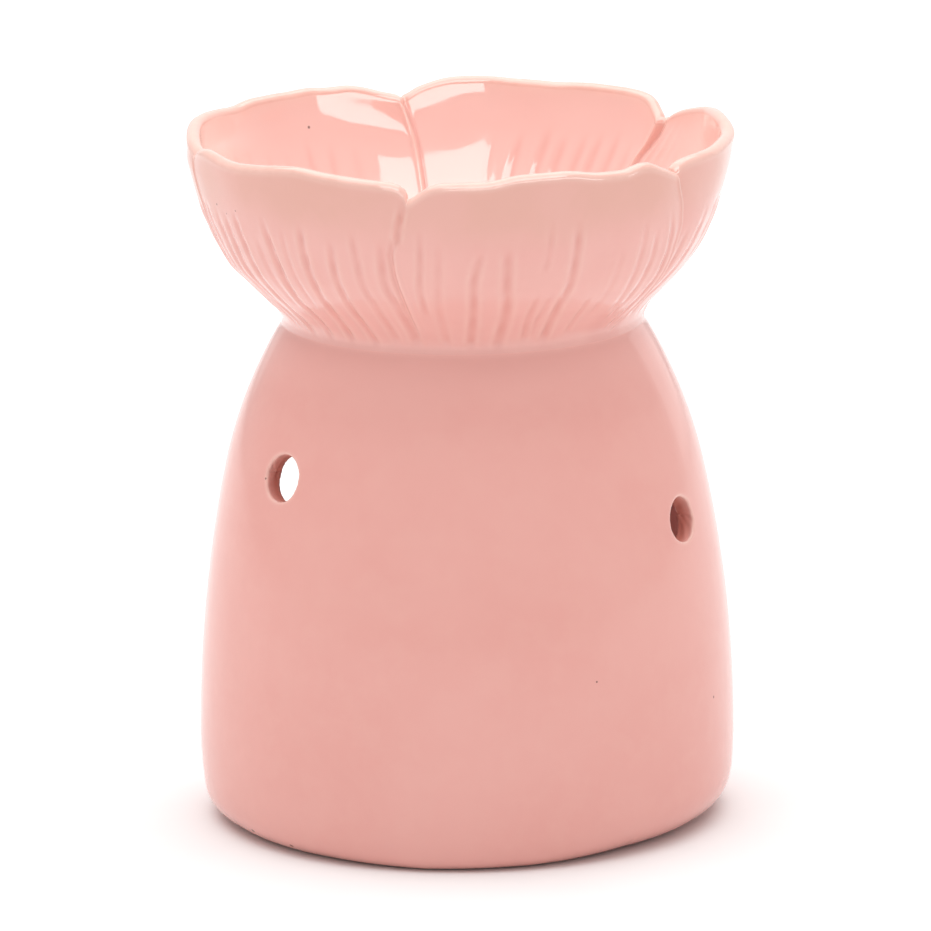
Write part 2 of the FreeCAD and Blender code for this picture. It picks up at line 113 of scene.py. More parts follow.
def lathe(name, prof, n, attrs_fn=None, wobble=None, close_start=True, close_end=True,
          sharp=(), ring_r=None):
    """Closed lathe of a list of (r, z), from one end on the axis to the other."""
    prof = np.asarray(prof, float)
    ang = np.arange(n) / n * 2 * math.pi
    m = len(prof)
    r = np.repeat(prof[:, :1], n, 1)
    z = np.repeat(prof[:, 1:], n, 1)
    if wobble is not None:
        r, z = wobble(r, z, ang[None, :])
    co = np.stack([r * np.sin(ang), -r * np.cos(ang), z], -1).reshape(-1, 3)
    i = np.arange(n)
    j = np.arange(m - 1)
    ii, jj = np.meshgrid(i, j)
    i2 = (ii + 1) % n
    quads = np.stack([jj * n + ii, jj * n + i2, (jj + 1) * n + i2, (jj + 1) * n + ii], -1).reshape(-1, 4)
    tris = []
    if close_start:
        c = len(co)
        co = np.vstack([co, [0, 0, prof[0, 1]]])
        tris.append(np.stack([np.full(n, c), (i + 1) % n, i], -1))
    if close_end:
        c = len(co)
        co = np.vstack([co, [0, 0, prof[-1, 1]]])
        b = (m - 1) * n
        tris.append(np.stack([b + i, b + (i + 1) % n, np.full(n, c)], -1))
    tris = np.vstack(tris) if tris else None
    attrs = attrs_fn(co) if attrs_fn else None
    return mesh_piece(name, co, quads, tris, attrs,
                      sharp_ring=[np.arange(k * n, k * n + n) for k in sharp])


# ---------------------------------------------------------------------------
# Camera
# ---------------------------------------------------------------------------
AZ, EL, DIST = math.radians(-11.0), math.radians(13.35), 1.665
cam_data = bpy.data.cameras.new("camera")
cam = bpy.data.objects.new("camera", cam_data)
bpy.context.scene.collection.objects.link(cam)
cam_data.sensor_width = 36.0
cam_data.lens = 9000.0 / 931.0 * 36.0
cam_data.clip_start, cam_data.clip_end = 0.05, 30.0
back = Vector((math.sin(AZ) * math.cos(EL), -math.cos(AZ) * math.cos(EL), math.sin(EL)))
cam.location = Vector((0, 0, 0.04625)) + back * DIST
LOOK = EL - math.atan(98.3 / 9000.0)
look = Vector((math.sin(AZ) * math.cos(LOOK), -math.cos(AZ) * math.cos(LOOK), math.sin(LOOK)))
quat = (-look).to_track_quat("-Z", "Y")
side = quat @ Vector((1, 0, 0))
yaw = Matrix.Rotation(math.atan(0.9 / 9000.0), 4, "Z").to_quaternion()
roll = Matrix.Rotation(math.radians(-0.62), 4, "Z").to_quaternion()
cam.rotation_mode = "QUATERNION"
cam.rotation_quaternion = yaw.inverted() @ quat @ roll
bpy.context.scene.camera = cam

# ---------------------------------------------------------------------------
# Flower bowl: petals, edges and flutes. Angles from -Y towards +X, in degrees
# ---------------------------------------------------------------------------
BOWL_Z = [92.9, 93.3, 93.9, 95.2, 97.3, 99.3, 101.1, 102.9, 104.6, 106.3, 108.0, 109.7, 111.5,
          113.1, 114.9, 116.9, 118.6, 120.4, 122.1, 123.9, 125.6, 127.3, 129.5]
BOWL_R = [33.45, 33.42, 33.45, 34.05, 35.7, 37.6, 39.4, 41.0, 42.4, 43.6, 44.6, 45.5, 46.3,
          47.0, 47.7, 48.3, 48.8, 49.2, 49.5, 49.7, 49.85, 50.05, 50.2]

RIM = [(-87.6, 126.2), (-85.6, 127.1), (-83, 127.75), (-79.5, 128.05), (-74.5, 127.8), (-70, 127.5),
       (-66, 127.48), (-62, 127.75), (-58, 128.0), (-53, 128.5), (-48, 128.75), (-41, 128.2), (-34, 127.8),
       (-28.3, 127.5), (-25.8, 127.2), (-24.2, 126.75), (-23.0, 126.1), (-22.2, 125.2), (-21.5, 124.15),
       (-20.6, 124.55), (-19.6, 125.3), (-18.4, 126.2), (-17.3, 126.75), (-15.5, 127.2), (-12.5, 127.35),
       (-7, 127.4), (2, 128.55), (11, 128.7), (19, 127.8), (25.2, 127.65), (28, 128.15), (30, 128.42),
       (31.6, 128.35), (33.4, 127.9), (35.6, 127.1), (38.2, 126.2), (40.2, 125.4), (41.6, 124.85),
       (42.6, 125.6), (44.2, 126.45), (47, 127.0), (51, 127.25), (57, 127.4), (66, 127.7), (73, 127.8),
       (79, 128.25), (85, 128.8), (90, 129.05), (94, 128.95), (98, 128.63), (101.5, 128.28), (104.5, 127.77),
       (107.3, 127.2), (109.8, 126.6), (112.2, 125.75), (113.9, 124.9), (115.3, 124.45), (116.6, 125.1),
       (118.4, 126.0), (120.6, 127.2), (123, 128.0), (126, 128.35), (131, 128.55), (139, 128.6), (143, 128.5),
       (147, 128.35), (152, 128.55), (157.5, 128.7), (161.5, 128.93), (165.5, 129.0), (169.5, 128.93),
       (172.2, 128.7), (174.6, 128.25), (177, 127.65), (179, 127.05), (180.5, 126.45), (181.8, 125.95),
       (183, 125.6), (184.4, 126.2), (187.1, 126.8), (189.9, 127.54), (192.8, 128.13), (195.7, 128.45),
       (199, 128.38), (202, 128.49), (205, 128.7), (210, 128.6), (215, 128.7), (221, 128.68), (224, 128.45),
       (226.5, 128.12), (229, 128.05), (232, 128.25), (236, 128.5), (241, 128.7), (246, 128.7), (251, 128.4),
       (257, 127.85), (262, 127.2), (266.5, 126.5), (269.6, 126.0)]


def rim_top(ang):
    a = np.array([p[0] for p in RIM])
    z = np.array([p[1] for p in RIM])
    a3 = np.concatenate([a - 360, a, a + 360])
    z3 = np.concatenate([z, z, z])
    return curve(a3, z3, wrap(ang))


# petal boundaries: angle at the rim; course of the edge down the outside and the
# inside; which side lies over outside (+1: the petal at larger angles)
EDGES = [
    dict(u=-89.0, over=1, step=1.15, ridge=0.30, valley=0.7,
         out=[(93, -74), (96, -79), (100, -84.5), (105, -86.8), (110, -86.8), (116, -86.2), (122, -87.0), (126, -89)],
         inn=[(93, -89), (126, -89)]),
    dict(u=-21.5, over=1, step=0.26, ridge=0.26, valley=0.8,
         out=[(93, -22.4), (96, -23.6), (100, -24.5), (105, -25.5), (110, -26.4), (113, -26.5), (116, -25.6),
              (119, -24.2), (122, -22.8), (126, -21.5)], soft=(113.0, 117.5),
         inn=[(93, -21.5), (126, -21.5)]),
    dict(u=41.4, over=-1, step=1.2, ridge=0.34, valley=0.9,
         out=[(93, 39.0), (94.6, 42.4), (96.6, 46.4), (99.5, 47.4), (103, 47.5), (108, 47.2), (112, 46.9),
              (115, 46.5), (117.3, 45.6), (119.4, 44.6), (122, 42.9), (126, 41.2)],
         inn=[(93, 41.4), (126, 41.4)]),
    dict(u=115.2, over=-1, step=1.1, ridge=0.28, valley=0.35, lap=0.2, seam=0.5,
         lines=((1.9, 0.24), (3.9, 0.22), (5.9, 0.14)),
         out=[(93, 112), (100, 116.5), (108, 118.5), (116, 118), (122, 116.3), (126, 115.2)],
         inn=[(97, 127), (110, 124), (116, 121.5), (119.5, 118.8), (123, 116.7), (126, 115.2)]),
    dict(u=183.0, over=-1, step=1.0, ridge=0.28, valley=0.4,
         out=[(93, 180), (100, 178), (110, 178), (118, 180), (126, 183)],
         inn=[(97, 178.3), (108, 178.6), (112, 178.9), (118, 179.9), (122, 181.3), (126, 183.0)]),
]

# outside flutes: top height, ((height, angle)...), depth, width (sigma, mm), bottom height
FLUTES = [
    # petal one, left to right
    (119.0, ((119, -81.8), (110, -80.8), (102, -79.5), (95, -74.0)), 0.24, 0.66, 94.6),
    (118.2, ((118, -76.6), (110, -76.8), (102, -75.6), (95, -70.5)), 0.26, 0.70, 94.6),
    (117.8, ((118, -72.6), (108, -73.2), (100, -73.0), (95, -68.5)), 0.34, 0.70, 94.4),
    (118.6, ((118, -68.4), (110, -68.2), (103, -68.4), (98, -67.0), (94, -64.5)), 0.42, 0.72, 94.2),
    (115.5, ((116, -62.4), (108, -62.4), (100, -61.8)), 0.16, 0.70, 99.5),
    (118.8, ((118, -58.6), (109, -58.2), (102, -58.8), (98, -57.4), (94, -56.4)), 0.46, 0.72, 94.0),
    (117.8, ((117, -53.3), (109, -53.8), (103, -53.4)), 0.22, 0.60, 100.5),
    (119.0, ((118, -47.8), (109, -48.6), (102, -48.3), (94, -47.7)), 0.46, 0.70, 93.9),
    (116.2, ((115, -40.6), (109, -41.3), (102.5, -41.0), (94.5, -38.9)), 0.46, 0.66, 94.0),
    (118.6, ((118, -35.0), (109, -35.0), (102, -33.5), (97, -32.0), (94.5, -31.4)), 0.30, 0.62, 94.6),
    (116.6, ((116, -28.8), (108.5, -29.4), (101.8, -27.5), (96.4, -25.7)), 0.40, 0.72, 94.4),
    (124.6, ((123, -23.4), (119.5, -24.5), (116, -25.2)), 0.42, 0.60, 115.6),
    # petal two
    (118.9, ((118.5, -20.0), (112, -20.4), (107, -21.0), (100, -20.4)), 0.34, 0.52, 101.0),
    (116.8, ((116.5, -16.0), (111, -16.4), (103, -17.0), (95, -16.0)), 0.20, 0.62, 94.4),
    (115.0, ((114, -7.0), (107.5, -8.5), (102, -8.3), (95.5, -8.6)), 0.44, 0.68, 94.2),
    (115.5, ((115, -1.0), (107.5, -0.7), (101, 0.3), (95, -0.2)), 0.48, 0.78, 93.9),
    (120.5, ((120, 8.2), (115, 8.3), (110, 8.0)), 0.18, 0.55, 109.5),
    (106.0, ((105, 7.5), (100, 6.9), (96, 7.6)), 0.32, 0.58, 94.6),
    (105.8, ((105, 11.2), (98, 9.6), (95, 9.4)), 0.22, 0.50, 95.4),
    (119.6, ((119.5, 14.4), (113, 14.8), (107.5, 15.0), (101, 14.0), (96, 14.1)), 0.50, 0.70, 94.4),
    (104.6, ((103.5, 22.6), (97, 22.0)), 0.22, 0.55, 95.6),
    (113.5, ((113, 27.4), (106, 27.5), (101, 27.0)), 0.12, 0.60, 99.0),
    (118.0, ((117, 32.3), (110, 33.4), (103, 34.0), (99, 34.4)), 0.26, 0.62, 99.0),
    (116.0, ((115, 36.6), (109, 37.8), (103, 38.0), (98, 36.2)), 0.30, 0.58, 97.6),
    (118.5, ((118, 40.4), (112, 43.0), (105, 43.8), (99, 42.4), (95, 39.4)), 0.32, 0.60, 95.0),
    # petal three, next to the second petal's edge
    (113.5, ((113, 51.8), (107, 51.2), (101, 50.6), (96, 47.2)), 0.24, 0.72, 95.6),
    (117.0, ((116, 57.6), (110, 57.0), (104, 55.2), (98, 52.0)), 0.26, 0.80, 96.4),
    (118.4, ((118, 64.6), (110, 64.0), (102, 61.6), (95, 57.5)), 0.26, 0.80, 95.6),
]
# the petals turned away: same kind of flutes, unevenly spaced
for lo_a, hi_a in ((68.0, 111.0), (121.0, 175.5), (186.0, 268.0)):
    a = lo_a
    mid = 0.5 * (lo_a + hi_a)
    while a < hi_a:
        top = RNG.uniform(114.0, 119.2)
        bend = (mid - a) * 0.05
        j = RNG.uniform(-0.5, 0.5, 3)
        bottom = RNG.choice([94.2, 94.4, 99.0, 101.0], p=[0.45, 0.3, 0.15, 0.1])
        FLUTES.append((top, ((top, a + j[0]), (108.0, a + j[1] + 0.2 * bend),
                             (101.0, a + j[2] + 0.6 * bend), (94.5, a + bend + j[0])),
                       RNG.uniform(0.20, 0.5), RNG.uniform(0.55, 0.8), bottom))
        a += RNG.uniform(4.6, 7.4)

# inside pleats: ((height, angle)...), depth, sigma, top height
PLEATS = []
for a0, d in ((124.6, 0.16), (129.3, 0.24), (134.2, 0.26), (138.4, 0.26), (143.4, 0.28),
              (148.0, 0.30), (154.4, 0.26), (161.0, 0.06)):
    PLEATS.append((((122, a0 - 0.6), (118, a0 + 0.2), (112, a0 + 2.0), (104, a0 + 3.0)), d, 0.8,
                   120.6 + RNG.uniform(-1.0, 1.0)))
for lo_a, hi_a in ((196.0, 266.0), (44.0, 111.0), (-18.0, 38.0), (-82.0, -25.0)):
    a = lo_a
    while a < hi_a:
        lean = RNG.uniform(-1.0, 1.0)
        PLEATS.append((((122, a), (112, a + lean), (104, a + lean * 1.4)), RNG.uniform(0.08, 0.24),
                       RNG.uniform(0.7, 1.0), RNG.uniform(117.5, 121.5)))
        a += RNG.uniform(4.6, 7.2)


def bowl_columns(n):
    """Column angles, closer together at the petal edges."""
    u = np.linspace(-180, 180, 7201)
    w = np.ones_like(u)
    for e in EDGES:
        w += 2.6 * np.exp(-(wrap(u - e["u"]) / 2.6) ** 2)
    c = np.concatenate([[0], np.cumsum(0.5 * (w[1:] + w[:-1]))])
    c /= c[-1]
    return np.interp(np.arange(n) / n, c, u)


def base_r(z):
    return curve(BOWL_Z, BOWL_R, z)


# smoothed outline that the inside follows
_z = np.linspace(96.0, 129.5, 300)
INNER = np.polynomial.Polynomial.fit(_z, base_r(_z), 6)
INNER_SLOPE = INNER.deriv()


def lopsided(u, z):
    """The bowl was pressed by hand: fuller on one side than on the other."""
    fuller = 0.85 * np.exp(-(wrap(u - 257.0) / 26.0) ** 2) * sstep(z, 101.0, 106.0) * (
        1.0 - 0.75 * sstep(z, 122.5, 127.0))
    tip = 0.75 * np.exp(-(wrap(u - 247.0) / 13.0) ** 2) * sstep(z, 119.0, 127.0)
    flatter = -0.42 * np.exp(-(wrap(u - 76.0) / 30.0) ** 2) * sstep(z, 93.5, 97.0)
    return fuller + tip + flatter


def warp(u, z, side):
    """Actual angle of column u at height z: columns follow the petal edges."""
    a = u + np.zeros_like(z)
    for e in EDGES:
        zs, an = zip(*e[side])
        shift = curve(zs, an, z) - e["u"]
        a = a + shift * np.exp(-(wrap(u - e["u"]) / 15.0) ** 2)
    return a


def crown(u, z, r, k=1.0, uneven=1.0):
    """Petals bulge between their edges, the skin draws in towards the notches."""
    d = np.zeros(np.broadcast(u, z).shape)
    hi = sstep(z, 100.0, 126.0)
    for e in EDGES:
        s = np.radians(wrap(u - e["u"])) * r
        d -= k * e["valley"] * (0.25 + 0.75 * hi) * sstep(z, 93.5, 104.0) * np.exp(-(np.abs(s) / (3.0 + 2.0 * hi)) ** 1.6)
    d += lopsided(u, z)
    # slow hand-made unevenness of the rim in plan
    d += uneven * 0.24 * sstep(z, 112.0, 127.0) * (
        np.sin(np.radians(u * 11 + 40)) * 0.6 + np.sin(np.radians(u * 17 + 190)) * 0.5
        + np.sin(np.radians(u * 7 + 300)) * 0.5)
    return d


def outer_skin(u, z):
    """(angle, radius, pool, thin) of the outside."""
    r = base_r(z)
    a = warp(u, z, "out")
    dr = crown(u, z, r)
    thin = np.zeros_like(dr)
    pool = np.zeros_like(dr)
    amp = sstep(z, 93.6, 100.0)
    # the rim flares a little outwards just below the lip
    top = rim_top(u)
    dr += 0.25 * sstep(top - z, 9.0, 0.5)
    for e in EDGES:
        s = np.radians(wrap(u - e["u"])) * r
        x = e["over"] * s
        amp = sstep(z, 93.6, 100.0)
        if "soft" in e:
            amp = amp * (1.0 - 0.85 * sstep(z, *e["soft"]))
        over = 1.0 / (1.0 + np.exp(-np.clip(x / 0.16, -60, 60)))
        ridge = e["ridge"] * np.exp(-((x - 0.55) / 0.55) ** 2)
        lift = 0.22 * np.exp(-np.abs(x) / 5.0)
        under = -e["step"] * np.exp(-np.abs(x) / 7.5) - 0.22 * np.exp(-((x + 0.55) / 0.5) ** 2)
        dr += amp * (over * (ridge + lift) + (1 - over) * under)
        thin = np.maximum(thin, amp * np.exp(-((x - 0.38) / 0.42) ** 2) * min(1.0, e["step"] + 0.1))
        pool = np.maximum(pool, min(0.9, 0.35 + 0.5 * e["step"]) * amp * np.exp(-((x + 0.6) / 0.6) ** 2))
    for top_z, path, depth, sig, bottom in FLUTES:
        zs, an = zip(*sorted(path))
        g = curve(zs, an, z)
        s = np.radians(wrap(a - g)) * r
        f = sstep(z, top_z + 0.6, top_z - 4.5) * sstep(z, bottom - 0.6, bottom + 1.6)
        f = f * (0.85 + 0.15 * np.sin(z * 1.3 + g[..., :1] if np.ndim(g) else z * 1.3))
        cut = np.exp(-(s / sig) ** 2)
        berm = np.exp(-((s - 1.75 * sig) / sig) ** 2) + np.exp(-((s + 1.75 * sig) / sig) ** 2)
        dr += f * 0.85 * depth * (-cut + 0.30 * berm)
        pool = np.maximum(pool, 0.62 * f * min(1.0, depth / 0.45) * np.exp(-(s / (sig * 1.15)) ** 2))
        thin = np.maximum(thin, 0.45 * f * min(1.0, depth / 0.45) * np.maximum(
            np.exp(-((s - 1.8 * sig) / (0.7 * sig)) ** 2), np.exp(-((s + 1.8 * sig) / (0.7 * sig)) ** 2)))
    pool = np.maximum(pool, 0.10 * sstep(z, 94.4, 93.2))
    # darker in the corner where the second petal meets the neck
    pool = np.maximum(pool, 0.34 * sstep(z + 0.03 * (a - 38.0), 99.0, 98.2) * sstep(a, 27.0, 35.0) * sstep(a, 47.6, 46.6))
    # broad soft ribs between the flutes
    dr += 0.07 * np.sin(np.radians(a * 26 + 25 * np.sin(z * 0.35))) * sstep(z, 121, 112) * sstep(z, 93.5, 98)
    return a, r + dr, pool, thin


def inner_skin(u, z, floor_z):
    """(angle, radius, pool, thin) of the inside."""
    base = INNER(z)
    slope = INNER_SLOPE(z)
    wall = 2.64 + 0.98 * (1.0 - np.exp(-np.maximum(127.6 - z, 0.0) / 14.0))
    a = warp(u, z, "inn")
    r = base - wall * np.sqrt(1 + slope * slope)
    dr = crown(u, z, base, 0.9, 0.35)
    thin = np.zeros_like(dr)
    pool = np.zeros_like(dr)
    amp = sstep(z, 99.0, 106.0)
    for k, e in enumerate(EDGES):
        s = np.radians(wrap(u - e["u"])) * r
        x = -e["over"] * s                    # the petal under outside lies over inside
        over = 1.0 / (1.0 + np.exp(-np.clip(x / 0.13, -60, 60)))
        bead = 0.34 * np.exp(-((x - 0.62) / 0.52) ** 2) + 0.08 * np.exp(-np.abs(x) / 5.0)
        under = e.get("lap", 0.26) * np.exp(-np.abs(x) / 6.0) + 0.16 * np.exp(-((x + 0.35) / 0.35) ** 2)
        for off, height in e.get("lines", ()):
            under = under - height * np.exp(-((x + off) / 0.6) ** 2)
            thin = np.maximum(thin, 2.0 * height * amp * np.exp(-((x + off) / 0.45) ** 2))
        dr += amp * (-over * bead + (1 - over) * under)
        thin = np.maximum(thin, 0.9 * amp * np.exp(-((x - 0.6) / 0.5) ** 2))
        pool = np.maximum(pool, e.get("seam", 1.0) * 0.6 * amp * np.exp(-((x + 0.32) / 0.34) ** 2))
    for path, depth, sig, top_z in PLEATS:
        zs, an = zip(*sorted(path))
        g = curve(zs, an, z)
        s = np.radians(wrap(a - g)) * r
        f = sstep(z, top_z, top_z - 5.0) * sstep(z, 100.0, 105.0)
        dr += f * 0.62 * depth * (np.exp(-(s / sig) ** 2) - 0.45 * np.exp(-((s - 2 * sig) / sig) ** 2)
                           - 0.45 * np.exp(-((s + 2 * sig) / sig) ** 2))
        pool = np.maximum(pool, 0.34 * f * min(1.0, depth / 0.25) * np.exp(-(s / sig) ** 2))
    return a, r + dr, pool, thin


def build_bowl():
    n = 960
    u = bowl_columns(n)[None, :]
    lip = 1.32
    top = rim_top(u)
    z0, z1 = 92.9, top - lip
    m_out, m_lip, m_in = 104, 11, 66
    t = np.linspace(0, 1, m_out)[:, None]
    z = z0 + (z1 - z0) * t
    a, r, pool, thin = outer_skin(u, z)
    fade = sstep(z, 92.9, 93.6)
    r = 33.45 + (r - 33.45) * fade
    A, R, Z = [a], [r], [z]
    pools, thins = [pool], [np.maximum(thin, 0.75 * sstep(top - z, 2.2, 0.9))]
    r1, a1 = r[-1:], a[-1:]
    # rounded lip
    th = np.radians(np.linspace(0, 180, m_lip + 2)[1:-1])[:, None]
    A.append(a1 + 0 * th)
    R.append(r1 - lip + lip * np.cos(th))
    Z.append(z1 + lip * np.sin(th))
    pools.append(0 * R[-1])
    thins.append(0 * R[-1] + 0.9)
    # inside, from the lip down to where the floor begins
    zf = 97.0
    t = np.linspace(0, 1, m_in)[:, None]
    zi = z1 + (zf + 3.4 - z1) * t ** 0.96
    ai, ri, pi_, ti = inner_skin(u, zi, zf)
    want = r1 - 2 * lip
    gap = want - ri[:1]
    ri = ri + gap * sstep(z1 - zi, 7.0, 0.0)
    ai = ai + wrap(a1 - ai[:1]) * sstep(z1 - zi, 7.0, 0.0)
    A.append(ai)
    R.append(ri)
    Z.append(zi)
    pools.append(pi_)
    # painted light: the inside walls at the left and right of the bowl are made paler, standing in for light from the
    # sides
    painted_side_light = 0.80 * np.exp(-(wrap(u - 253.0) / 20.0) ** 2) + 0.42 * np.exp(-(wrap(u - 92.0) / 14.0) ** 2)
    thins.append(np.maximum(ti, 0.85 * np.exp(-(z1 - zi) / 1.5)))
    tip = np.zeros((m_out + m_lip + m_in + 8, n))
    tip[m_out + m_lip:m_out + m_lip + m_in] = painted_side_light * sstep(zi, 106.0, 121.0)
    # dished floor
    r_in = ri[-1:]
    fl = np.array([0.10, 0.22, 0.34, 0.46, 0.58, 0.70, 0.82, 0.92])[:, None]
    rr = r_in * (1 - fl)
    zz = zf + 3.4 * (1 - sstep(fl, -0.45, 0.62)) / (1 - sstep(0.0, -0.45, 0.62))
    A.append(ai[-1:] + 0 * fl)
    R.append(rr)
    Z.append(zz + 0 * rr)
    pools.append(0 * rr)
    thins.append(0 * rr)
    A, R, Z = np.vstack(A), np.vstack(R), np.vstack(Z)
    ar = np.radians(A)
    co = np.stack([R * np.sin(ar), -R * np.cos(ar), Z], -1)
    # the glaze is never dead flat
    x, y, zc = co[..., 0], co[..., 1], co[..., 2]
    ripple = (np.sin(x * 0.42 + 1.0) * np.sin(zc * 0.37 + 0.4) + np.sin(y * 0.36 + 2.0 + zc * 0.22)) * 0.05
    live = sstep(zc, 93.4, 97.0)
    live[m_out + m_lip:] *= 0.4
    co[..., 0] += ripple * np.sin(ar) * live
    co[..., 1] -= ripple * np.cos(ar) * live
    m = len(A)
    co = co.reshape(-1, 3)
    i = np.arange(n)
    ii, jj = np.meshgrid(i, np.arange(m - 1))
    i2 = (ii + 1) % n
    quads = np.stack([jj * n + ii, jj * n + i2, (jj + 1) * n + i2, (jj + 1) * n + ii], -1).reshape(-1, 4)
    c0, c1 = len(co), len(co) + 1
    co = np.vstack([co, [0, 0, z0], [0, 0, zf]])
    b = (m - 1) * n
    tris = np.vstack([np.stack([np.full(n, c0), (i + 1) % n, i], -1),
                      np.stack([b + i, b + (i + 1) % n, np.full(n, c1)], -1)])
    pool = np.concatenate([np.vstack(pools).ravel(), [0, 0]])
    thin = np.concatenate([np.vstack(thins).ravel(), [0, 0]])
    inside = np.zeros(m * n + 2)
    inside[(m_out + m_lip) * n:m * n] = 1.0
    inside[m * n + 1] = 1.0
    return mesh_piece("flower_bowl_glazed", co, quads, tris,
                      {"pool": pool, "thin": thin, "inside": inside, "tip": np.concatenate([tip.ravel(), [0, 0]])},
                      sharp_ring=[np.arange(n)])


# ---------------------------------------------------------------------------
# Burner body: meshed from a smooth distance field, so that the arch and the
# vent holes have the soft rounded edges of sponged slip ware
# ---------------------------------------------------------------------------
def arc_rz(cx, cz, rad, z_a, z_b, n):
    z = np.linspace(z_a, z_b, n)
    return np.stack([cx + np.sqrt(rad * rad - (z - cz) ** 2), z], -1)


def polyline_field(poly, lo, hi, step):
    """Signed distance to a closed polyline on a grid, negative inside."""
    xs = np.arange(lo[0], hi[0] + step, step)
    ys = np.arange(lo[1], hi[1] + step, step)
    X, Y = np.meshgrid(xs, ys, indexing="ij")
    best = np.full(X.shape, 1e18)
    odd = np.zeros(X.shape, bool)
    for (x0, y0), (x1, y1) in zip(poly, np.roll(poly, -1, 0)):
        dx, dy = x1 - x0, y1 - y0
        ll = dx * dx + dy * dy
        if ll < 1e-18:
            continue
        t = np.clip(((X - x0) * dx + (Y - y0) * dy) / ll, 0, 1)
        best = np.minimum(best, (X - x0 - t * dx) ** 2 + (Y - y0 - t * dy) ** 2)
        if dy != 0:
            crosses = (y0 > Y) != (y1 > Y)
            odd ^= crosses & (X < x0 + (Y - y0) * dx / dy)
    d = np.sqrt(best)
    return np.where(odd, -d, d), lo, step


def sample(field, x, y):
    """Bicubic look-up."""
    g, lo, step = field
    fx = np.clip((x - lo[0]) / step, 1.001, g.shape[0] - 3.001)
    fy = np.clip((y - lo[1]) / step, 1.001, g.shape[1] - 3.001)
    ix, iy = fx.astype(np.int64), fy.astype(np.int64)
    tx, ty = fx - ix, fy - iy

    def weights(t):
        return (((-0.5 * t + 1.0) * t - 0.5) * t, (1.5 * t - 2.5) * t * t + 1.0,
                ((-1.5 * t + 2.0) * t + 0.5) * t, (0.5 * t - 0.5) * t * t)
    wx, wy = weights(tx), weights(ty)
    flat = g.ravel()
    w = g.shape[1]
    out = 0.0
    for a in range(4):
        row = (ix + a - 1) * w + iy - 1
        part = 0.0
        for b in range(4):
            part = part + wy[b] * flat[row + b]
        out = out + wx[a] * part
    return out


def smax(a, b, k):
    h = np.maximum(k - np.abs(a - b), 0.0) / np.maximum(k, 1e-9)
    return np.maximum(a, b) + h * h * k * 0.25


def smin(a, b, k):
    return -smax(-a, -b, k)


def outer_outline(rho):
    """Outline of the barrel with a foot edge rounded off by rho."""
    cx = -32.41 + math.sqrt((82.0 - rho) ** 2 - (16.58 - rho) ** 2)
    a0 = math.atan2(rho - 16.58, cx + 32.41)
    arc = [[cx + rho * math.cos(t), rho + rho * math.sin(t)]
           for t in np.linspace(-math.pi / 2 + 0.02, a0 - 0.02, 20)]
    return np.vstack([
        [[-6.0, 1.6], [35.6, 1.6], [35.95, 1.45], [36.7, 0.25], [37.2, 0.0]],
        [[max(cx, 37.8), 0.0]] if cx > 37.8 else np.zeros((0, 2)),
        arc,
        arc_rz(-32.41, 16.58, 82.0, arc[-1][1] + 0.4, 16.58, 30)[:-1],
        arc_rz(-180.41, 16.58, 230.0, 16.58, 66.36, 120)[:-1],
        arc_rz(-36.99, 48.37, 83.1, 66.36, 91.4, 70),
        [[(1 - t) ** 2 * 34.10 + 2 * t * (1 - t) * 33.45 + t * t * 33.38,
          (1 - t) ** 2 * 91.4 + 2 * t * (1 - t) * 92.35 + t * t * 92.9] for t in np.linspace(0.1, 1, 12)],
        [[33.34, 93.7], [32.6, 94.3], [-6.0, 94.3]],
    ])


IN_POLY = np.vstack([
    [[-6.0, 5.5], [42.52, 5.5]],
    [[42.52 + 3.5 * math.sin(t), 9.0 - 3.5 * math.cos(t)] for t in np.linspace(0.05, math.pi / 2, 18)],
    arc_rz(-32.41, 16.58, 78.8, 9.0, 16.58, 20)[1:-1],
    arc_rz(-180.41, 16.58, 226.8, 16.58, 65.667, 110)[:-1],
    arc_rz(-36.99, 48.37, 79.9, 65.667, 99.0, 90),
    [[-6.0, 99.0]],
])


def arch_outline():
    pts = []

    def arc(cx, cz, r, a0, a1, n):
        for t in np.radians(np.linspace(a0, a1, n)):
            pts.append((cx + r * math.cos(t), cz + r * math.sin(t)))
    arc(26.0, 9.5, 4.0, -90, 0, 12)
    arc(10.0, 50.5, 20.0, 0, 60, 24)
    arc(0.0, 33.18, 40.0, 60, 120, 36)
    arc(-10.0, 50.5, 20.0, 120, 180, 24)
    arc(-26.0, 9.5, 4.0, 180, 270, 12)
    return np.array(pts)


RHOS = (3.6, 6.6, 10.0)
F_OUT = [polyline_field(outer_outline(q), (-3.0, -4.0), (56.0, 98.0), 0.2) for q in RHOS]
# the foot edge was sponged off more on one side: rounding against angle
FOOT = ((-180, 6.0), (-140, 5.5), (-111, 5.5), (-76, 7.5), (-46, 6.4), (-21, 4.0), (4, 5.3), (29, 9.4),
        (54, 9.6), (89, 7.8), (130, 6.4), (180, 6.0))
F_IN = polyline_field(IN_POLY, (-3.0, -4.0), (56.0, 102.0), 0.2)
F_ARCH = polyline_field(arch_outline(), (-58.0, -4.0), (58.0, 98.0), 0.25)


def vent_frame(ang, zc, centre):
    cx, cz, rad = centre
    r = cx + math.sqrt(rad * rad - (zc - cz) ** 2)
    n = np.array([r - cx, zc - cz]) / rad
    s, c = math.sin(math.radians(ang)), math.cos(math.radians(ang))
    return np.array([r * s, -r * c, zc]), np.array([n[0] * s, -n[0] * c, n[1]])


VENTS = [(4.28,) + vent_frame(-61.1, 69.25, (-36.99, 48.37, 83.1)),
         (4.08,) + vent_frame(49.7, 59.4, (-180.41, 16.58, 230.0))]


